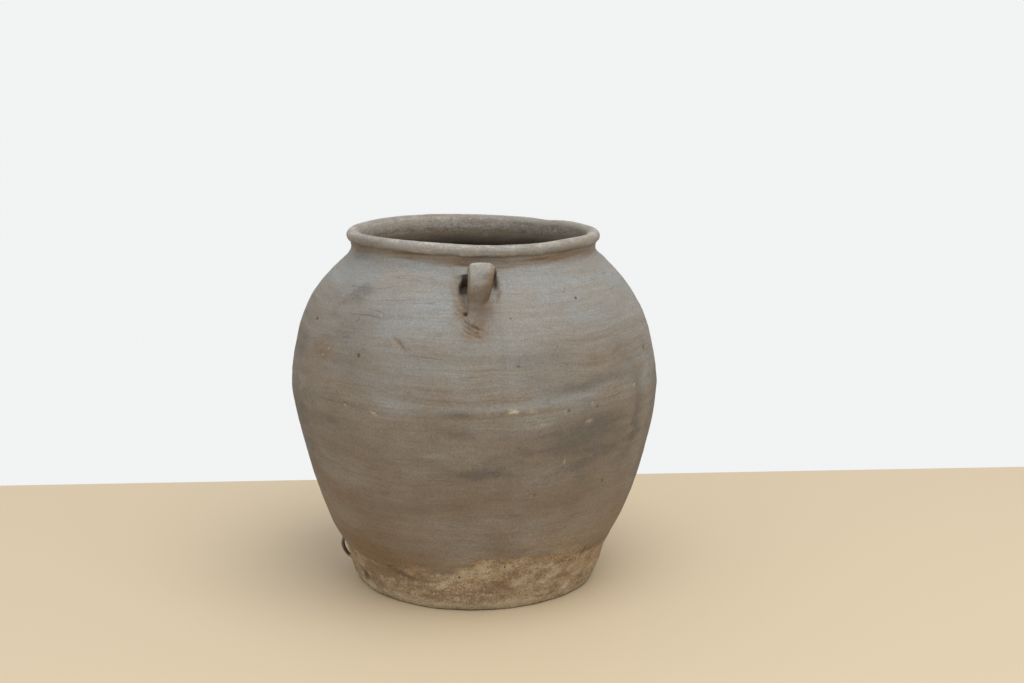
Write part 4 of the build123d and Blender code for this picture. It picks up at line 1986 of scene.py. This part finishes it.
    def _rim_paint(self, spots: Spots, bearing: Array, plain: Array) -> Paint:
        """What is painted on the rolled rim.

        Args:
            spots: Places at the heights of the level roll.
            bearing: Angle round the roll's section, 0 outwards and 90 up.
            plain: Points on the plain roll.

        Returns:
            The values of each layer.
        """
        skin, seen = self.skin, spots.seen
        patch = skin.clouds.at(plain, 20.0)
        drag = skin.clouds.at(plain, (60.0, 60.0, 4.0))
        paint = bare_paint(len(seen))
        # Ash over the roll, with more ash and pale deposits towards its top as painted highlight
        paint[Layer.ASH] += 0.5 + 0.35 * patch + 0.3 * hump(bearing, 70.0, 45.0) + 0.15 * drag
        paint[Layer.LIME_AND_LIGHT] += (0.4 + 0.2 * patch) * hump(bearing, 72.0, 50.0)
        paint[Layer.SMOKE] += 0.08 + 0.3 * skin.clouds.at(plain, 45.0) + 0.22 * hump(seen, -54.0, 14.0)
        paint[Layer.RUST] += 0.45 * (1.0 - ease(-66.0, -40.0, bearing + 14.0 * patch)) + 0.15 * drag
        # Painted shade on the underside of the roll and in the crevice under it
        paint[Layer.GRIME_AND_SHADE] += 0.1 * (1.0 - ease(-74.0, -48.0, bearing + 8.0 * patch))
        paint[Layer.GRIME_AND_SHADE] += 0.4 * ease(0.15, 0.55, skin.ragged.at(plain, 9.0)) * hump(bearing, -66.0, 13.0)
        for centre, side, width, strength in self.RIM_SPOTS:
            paint[Layer.RAW] += strength * hump(seen, centre, width) * hump(bearing, side, 24.0)
        paint = clipped(paint)
        inside = ease(120.0, 185.0, bearing)
        within = self._inner_paint(spots)
        return {layer: paint[layer] + inside * (within[layer] - paint[layer]) for layer in Layer}


@dataclass
class StrapLug:
    """A strap of clay that springs from the wall, arches out and is pressed down again as a tongue."""

    skin: WornSkin
    node: str
    azimuth: float
    seats: tuple[Array, ...]
    reach: float
    width: float
    thickness: float
    # How far the landing, the tongue and the tip stand out, in parts of the thickness
    press: tuple[float, float, float] = (0.30, 0.10, -0.15)
    # How far the strap lies to the right at its spring and at its tip
    sway: tuple[float, float] = (0.0, 0.0)
    taper: float = 0.0
    skew: float = 0.0
    # How dark the strap's face towards the wall is painted, as painted shade
    inner_face_shade: float = 0.6
    roughness: float = 0.35
    stations: int = 72
    around: int = 44

    # Power that makes the section's corners rounder than a square's and squarer than a circle's
    SQUARENESS = 0.56
    # Points of the curve between two of its knots
    CURVE_STEPS = 24
    # How much higher the tongue's face lies than the wall that it was pressed on
    MERGE_RISE = 2.5
    # Place along the strap, then its width and its thickness there against the middle
    SPREAD = (
        (0.0, 1.3, 1.2),
        (0.16, 1.08, 1.05),
        (0.35, 1.02, 1.0),
        (0.55, 0.92, 0.98),
        (0.72, 0.74, 0.94),
        (0.86, 0.68, 0.8),
        (1.0, 0.55, 0.5),
    )

    def _route(self) -> Array:
        """Follows the middle of the strap.

        Returns:
            Radius and height at evenly spaced stations.
        """
        spring, landing, tongue, tip = self.seats
        down = landing - spring
        away = np.array((-down[1], down[0])) / np.linalg.norm(down)
        knots = np.array(
            (
                spring - away * (0.7 * self.thickness),
                spring + down * 0.10 + away * (0.62 * self.reach),
                spring + down * 0.42 + away * self.reach,
                spring + down * 0.78 + away * (0.72 * self.reach),
                landing + away * (self.press[0] * self.thickness),
                tongue + away * (self.press[1] * self.thickness),
                tip + away * (self.press[2] * self.thickness),
            )
        )
        padded = np.vstack((2 * knots[0] - knots[1], knots, 2 * knots[-1] - knots[-2]))
        share = np.linspace(0.0, 1.0, self.CURVE_STEPS, endpoint=False)[:, None]
        run = []
        for before, start, end, after in zip(padded, padded[1:], padded[2:], padded[3:]):
            lean_in = (end - before) / 2
            lean_out = (after - start) / 2
            curve = start + lean_in * share + (3 * (end - start) - 2 * lean_in - lean_out) * share**2
            run.append(curve + (2 * (start - end) + lean_in + lean_out) * share**3)
        dense = np.vstack((*run, knots[-1:]))
        length = np.concatenate(((0.0,), np.cumsum(np.linalg.norm(np.diff(dense, axis=0), axis=1))))
        even = np.linspace(0.0, length[-1], self.stations)
        return np.stack((np.interp(even, length, dense[:, 0]), np.interp(even, length, dense[:, 1])), axis=1)

    def mesh(self) -> RingMesh:
        """Lays out the strap as a closed band with rounded edges.

        Returns:
            The mesh.
        """
        route = self._route()
        lean = np.gradient(route, axis=0)
        lean /= np.linalg.norm(lean, axis=1, keepdims=True)
        place = np.linspace(0.0, 1.0, self.stations)
        places, widths, depths = zip(*self.SPREAD)
        half_width = 0.5 * self.width * np.interp(place, places, widths)
        half_depth = 0.5 * self.thickness * np.interp(place, places, depths)
        sway = self.sway[0] + (self.sway[1] - self.sway[0]) * ease(0.15, 0.8, place)
        turn = np.linspace(0.0, 2 * math.pi, self.around, endpoint=False)
        side = np.sign(np.cos(turn)) * np.abs(np.cos(turn)) ** self.SQUARENESS
        rise = np.sign(np.sin(turn)) * np.abs(np.sin(turn)) ** self.SQUARENESS
        angle = math.radians(self.azimuth)
        radial = np.array((math.sin(angle), -math.cos(angle), 0.0))
        level = np.array((math.cos(angle), math.sin(angle), 0.0))
        upright = np.array((0.0, 0.0, 1.0))
        middles = np.outer(route[:, 0], radial) + np.outer(route[:, 1], upright)
        outward = np.outer(-lean[:, 1], radial) + np.outer(lean[:, 0], upright)
        swell = self.skin.swell
        mesh = RingMesh()
        rings = []
        for step, off in enumerate(outward):
            wide = side * (1.0 - self.taper * rise) * half_width[step] - self.skew * rise + sway[step]
            ring = middles[step] + np.outer(wide, level) + np.outer(rise * half_depth[step], off)
            wiped = self._wiped(side, rise, place[step])
            push = 0.9 * swell.at(ring, 9.0) + 0.4 * swell.at(ring, 3.5) - 0.8 * ease(0.0, 0.7, wiped)
            ring = ring + self.roughness * push[:, None] * (np.outer(side, level) + np.outer(rise, off))
            rings.append(mesh.ring(ring, self._paint(ring, place[step], rise, side)))
        mesh.chain(rings)
        mesh.cap(rings[-1], middles[-1], 0.2, True)
        mesh.cap(rings[0], middles[0], 0.2, False)
        return mesh

    def _wiped(self, side: Array, rise: Array, place: float) -> Array:
        """Streaks that a wet finger left along the strap, as noise at one ring."""
        along = np.stack((0.5 * self.width * side, 3.0 * rise, np.full_like(side, 60.0 * place)), axis=1)
        return self.skin.rings.at(along, (2.2, 2.2, 24.0))

    def _paint(self, ring: Array, place: float, rise: Array, side: Array) -> Paint:
        """What is painted on one ring of the strap: pale on top, painted shade on its face towards the wall,
        brown where it meets the wall.

        Args:
            ring: Points of the ring.
            place: Place of the ring along the strap, from 0 to 1.
            rise: How far each point looks out of the wall, from -1 to 1.
            side: How far each point looks to the right, from -1 to 1.

        Returns:
            The values of each layer.
        """
        paint = bare_paint(len(ring))
        patch = self.skin.clouds.at(ring, 9.0)
        outer = ease(-0.5, 0.3, rise)
        edge = ease(0.85, 1.0, np.abs(side)) * (1.0 - ease(0.75, 0.95, rise))
        wiped = self._wiped(side, rise, place)
        low = band(place + 0.05 * patch + 0.03 * side, 0.30, 0.58, 0.80, 0.95)
        paint[Layer.ASH] += (1.0 - 0.8 * low) * outer - 0.2 * edge + 0.15 * patch
        paint[Layer.ASH] -= 0.7 * ease(0.0, 0.6, wiped)
        paint[Layer.LIME_AND_LIGHT] += (0.42 + 0.2 * patch) * hump(place, 0.24, 0.06) * outer
        paint[Layer.RUST] += 0.32 * low + 0.18 * edge + 0.15 * patch + 0.5 * ease(0.1, 0.7, wiped)
        paint[Layer.RUST] += 0.4 * edge * ease(0.0, 0.8, side)
        paint[Layer.SMOKE] += 0.06 + 0.62 * low + 0.15 * patch + 0.3 * low * ease(0.1, 0.8, side)
        # Painted shade on the face towards the wall, and on the right side of the lower strap
        paint[Layer.GRIME_AND_SHADE] += self.inner_face_shade * (1.0 - outer) + 0.25 * low * ease(0.2, 0.9, side)
        paint[Layer.GRIME_AND_SHADE] += 0.22 * ease(0.3, 0.8, wiped)
        merged = ease(0.64, 0.77, place)
        if merged > 0.0:
            azimuth = np.degrees(np.arctan2(ring[:, 0], -ring[:, 1]))
            wall = self.skin.stains_and_shade(self.skin.spots(azimuth, ring[:, 2] - self.MERGE_RISE))
            paint = {layer: values + merged * (wall[layer] - values) for layer, values in paint.items()}
        return clipped(paint)


@dataclass
class Lugs:
    """The shoulder lug in front, its pair behind and the small tipping lug low on the left."""

    skin: WornSkin
    kiln: Kiln
    span: float = 39.0
    tongue: float = 24.0
    reach: float = 18.0
    width: float = 22.0
    thickness: float = 7.5
    low_azimuth: float = -98.0
    low_top: float = 35.5
    low_span: float = 29.0
    low_tongue: float = 4.0
    low_reach: float = 8.6
    low_width: float = 6.5
    low_thickness: float = 2.8

    # How the shoulder lugs were pressed on, and how the small one differs
    PRESSED = {"press": (0.22, -0.08, -0.70), "sway": (2.2, -2.6), "taper": 0.17, "skew": 0.5}
    SMALL = {"inner_face_shade": 0.2, "roughness": 0.2, "stations": 48, "around": 32}

    def build(self) -> list[bpy.types.Object]:
        """Builds the three lugs.

        Returns:
            The lugs.
        """
        form = self.skin.form
        end = self.span + self.tongue
        seats = tuple(form.shoulder_seat(place) for place in (0.0, self.span, end - self.tongue / 2, end))
        landing = self.low_top - self.low_span
        low_end = landing - self.low_tongue
        low_places = (self.low_top, landing, low_end + self.low_tongue / 2, low_end)
        low_seats = tuple(form.foot_seat(place) for place in low_places)
        sizes = (self.reach, self.width, self.thickness)
        low_sizes = (self.low_reach, self.low_width, self.low_thickness)
        front, rear = LUG_SIDES
        lugs = (
            StrapLug(self.skin, "front_lug", front, seats, *sizes, **self.PRESSED),
            StrapLug(self.skin, "rear_lug", rear, seats, *sizes, **self.PRESSED),
            StrapLug(self.skin, "low_lug", self.low_azimuth, low_seats, *low_sizes, **self.SMALL),
        )
        return [self.kiln.fire(lug.mesh(), lug.node, Finish.RIM) for lug in lugs]


@dataclass(frozen=True)
class Lamp:
    """One soft rectangular lamp that points at the jar."""

    name: str
    place: tuple[float, float, float]
    width: float
    power: float
    colour: Colour


@dataclass
class Studio:
    """Pale floor, white surround, soft light and the camera, in metres."""

    bench_back: float = 0.324
    bench_side: float = 2.4
    bench_front: float = -2.6
    floor_colour: Colour = srgb(215, 197, 167)
    floor_roughness: float = 0.7
    surround: Colour = (0.985, 0.995, 1.0)
    ambient: float = 0.64
    background: float = 0.9
    camera_place: tuple[float, float, float] = (-0.0574, -1.4754, 0.5345)
    camera_pitch: float = 78.581
    camera_yaw: float = -3.7
    lens: float = 53.146
    sensor: float = 36.0
    # Height that the lamps point at
    aim: float = 0.18
    lamps: tuple[Lamp, ...] = (
        Lamp("key", (0.55, -0.85, 2.5), 2.2, 39.0, srgb(255, 251, 246)),
        Lamp("fill", (-1.7, -1.7, 1.4), 2.0, 10.0, srgb(236, 244, 255)),
    )

    def build_floor(self) -> None:
        """Lays the pale bench top, behind which the surround is white."""
        side, near, far = self.bench_side, self.bench_front, self.bench_back
        mesh = bpy.data.meshes.new("bench_top")
        corners = ((-side, near, 0.0), (side, near, 0.0), (side, far, 0.0), (-side, far, 0.0))
        mesh.from_pydata(corners, [], [(0, 1, 2, 3)])
        paint = bpy.data.materials.new("bench_top")
        paint.use_nodes = True
        shader = paint.node_tree.nodes["Principled BSDF"]
        shader.inputs["Base Color"].default_value = (*self.floor_colour, 1.0)
        shader.inputs["Roughness"].default_value = self.floor_roughness
        mesh.materials.append(paint)
        made = bpy.data.objects.new("bench_top", mesh)
        bpy.context.scene.collection.objects.link(made)

    def build_world(self) -> None:
        """Surrounds the jar with even light, white to the camera."""
        world = bpy.data.worlds.new("surround")
        world.use_nodes = True
        draft = Draft(world.node_tree)
        sky = world.node_tree.nodes["Background"]
        path = draft.node("ShaderNodeLightPath")
        seen = draft.math("MAXIMUM", path.outputs["Is Camera Ray"], path.outputs["Is Glossy Ray"])
        seen = draft.math("MAXIMUM", seen, path.outputs["Is Transmission Ray"])
        strength = draft.math("MULTIPLY_ADD", seen, self.background - self.ambient, self.ambient)
        draft.feed(sky.inputs["Color"], self.surround)
        draft.feed(sky.inputs["Strength"], strength)
        bpy.context.scene.world = world

    def build_lamps(self) -> None:
        """Hangs the soft lamps."""
        for lamp in self.lamps:
            data = bpy.data.lights.new(lamp.name, "AREA")
            data.shape = "SQUARE"
            data.size = lamp.width
            data.energy = lamp.power
            data.color = lamp.colour
            made = bpy.data.objects.new(lamp.name, data)
            right, back, up = lamp.place
            tilt = math.atan2(math.hypot(right, back), up - self.aim)
            made.location = lamp.place
            made.rotation_euler = (tilt, 0.0, math.atan2(back, right) + math.pi / 2)
            bpy.context.scene.collection.objects.link(made)

    def build_camera(self) -> None:
        """Sets the camera at the photograph's viewing angle."""
        data = bpy.data.cameras.new("camera")
        data.lens = self.lens
        data.sensor_width = self.sensor
        made = bpy.data.objects.new("camera", data)
        made.location = self.camera_place
        made.rotation_euler = (math.radians(self.camera_pitch), 0.0, math.radians(self.camera_yaw))
        bpy.context.scene.collection.objects.link(made)
        bpy.context.scene.camera = made


def main() -> None:
    """Builds the jar, its light and its camera."""
    logging.basicConfig(level=logging.INFO, format="%(name)s: %(message)s")
    bpy.context.scene.view_settings.view_transform = "Standard"
    studio = Studio()
    studio.build_camera()
    studio.build_floor()
    studio.build_world()
    studio.build_lamps()

    skin = WornSkin(JarForm(JarSizes()), seed=41)
    kiln = Kiln()
    shell = WallShell(skin, kiln)
    pieces = (
        shell.build_base_slab(),
        shell.build_corner_coil(),
        shell.build_lower_wall(),
        shell.build_belt_strip(),
        shell.build_upper_wall(),
        shell.build_rim_roll(),
        *Lugs(skin, kiln).build(),
    )
    for piece in pieces:
        log.info("%s: %d faces", piece.name, len(piece.data.polygons))


if __name__ == "__main__":
    main()
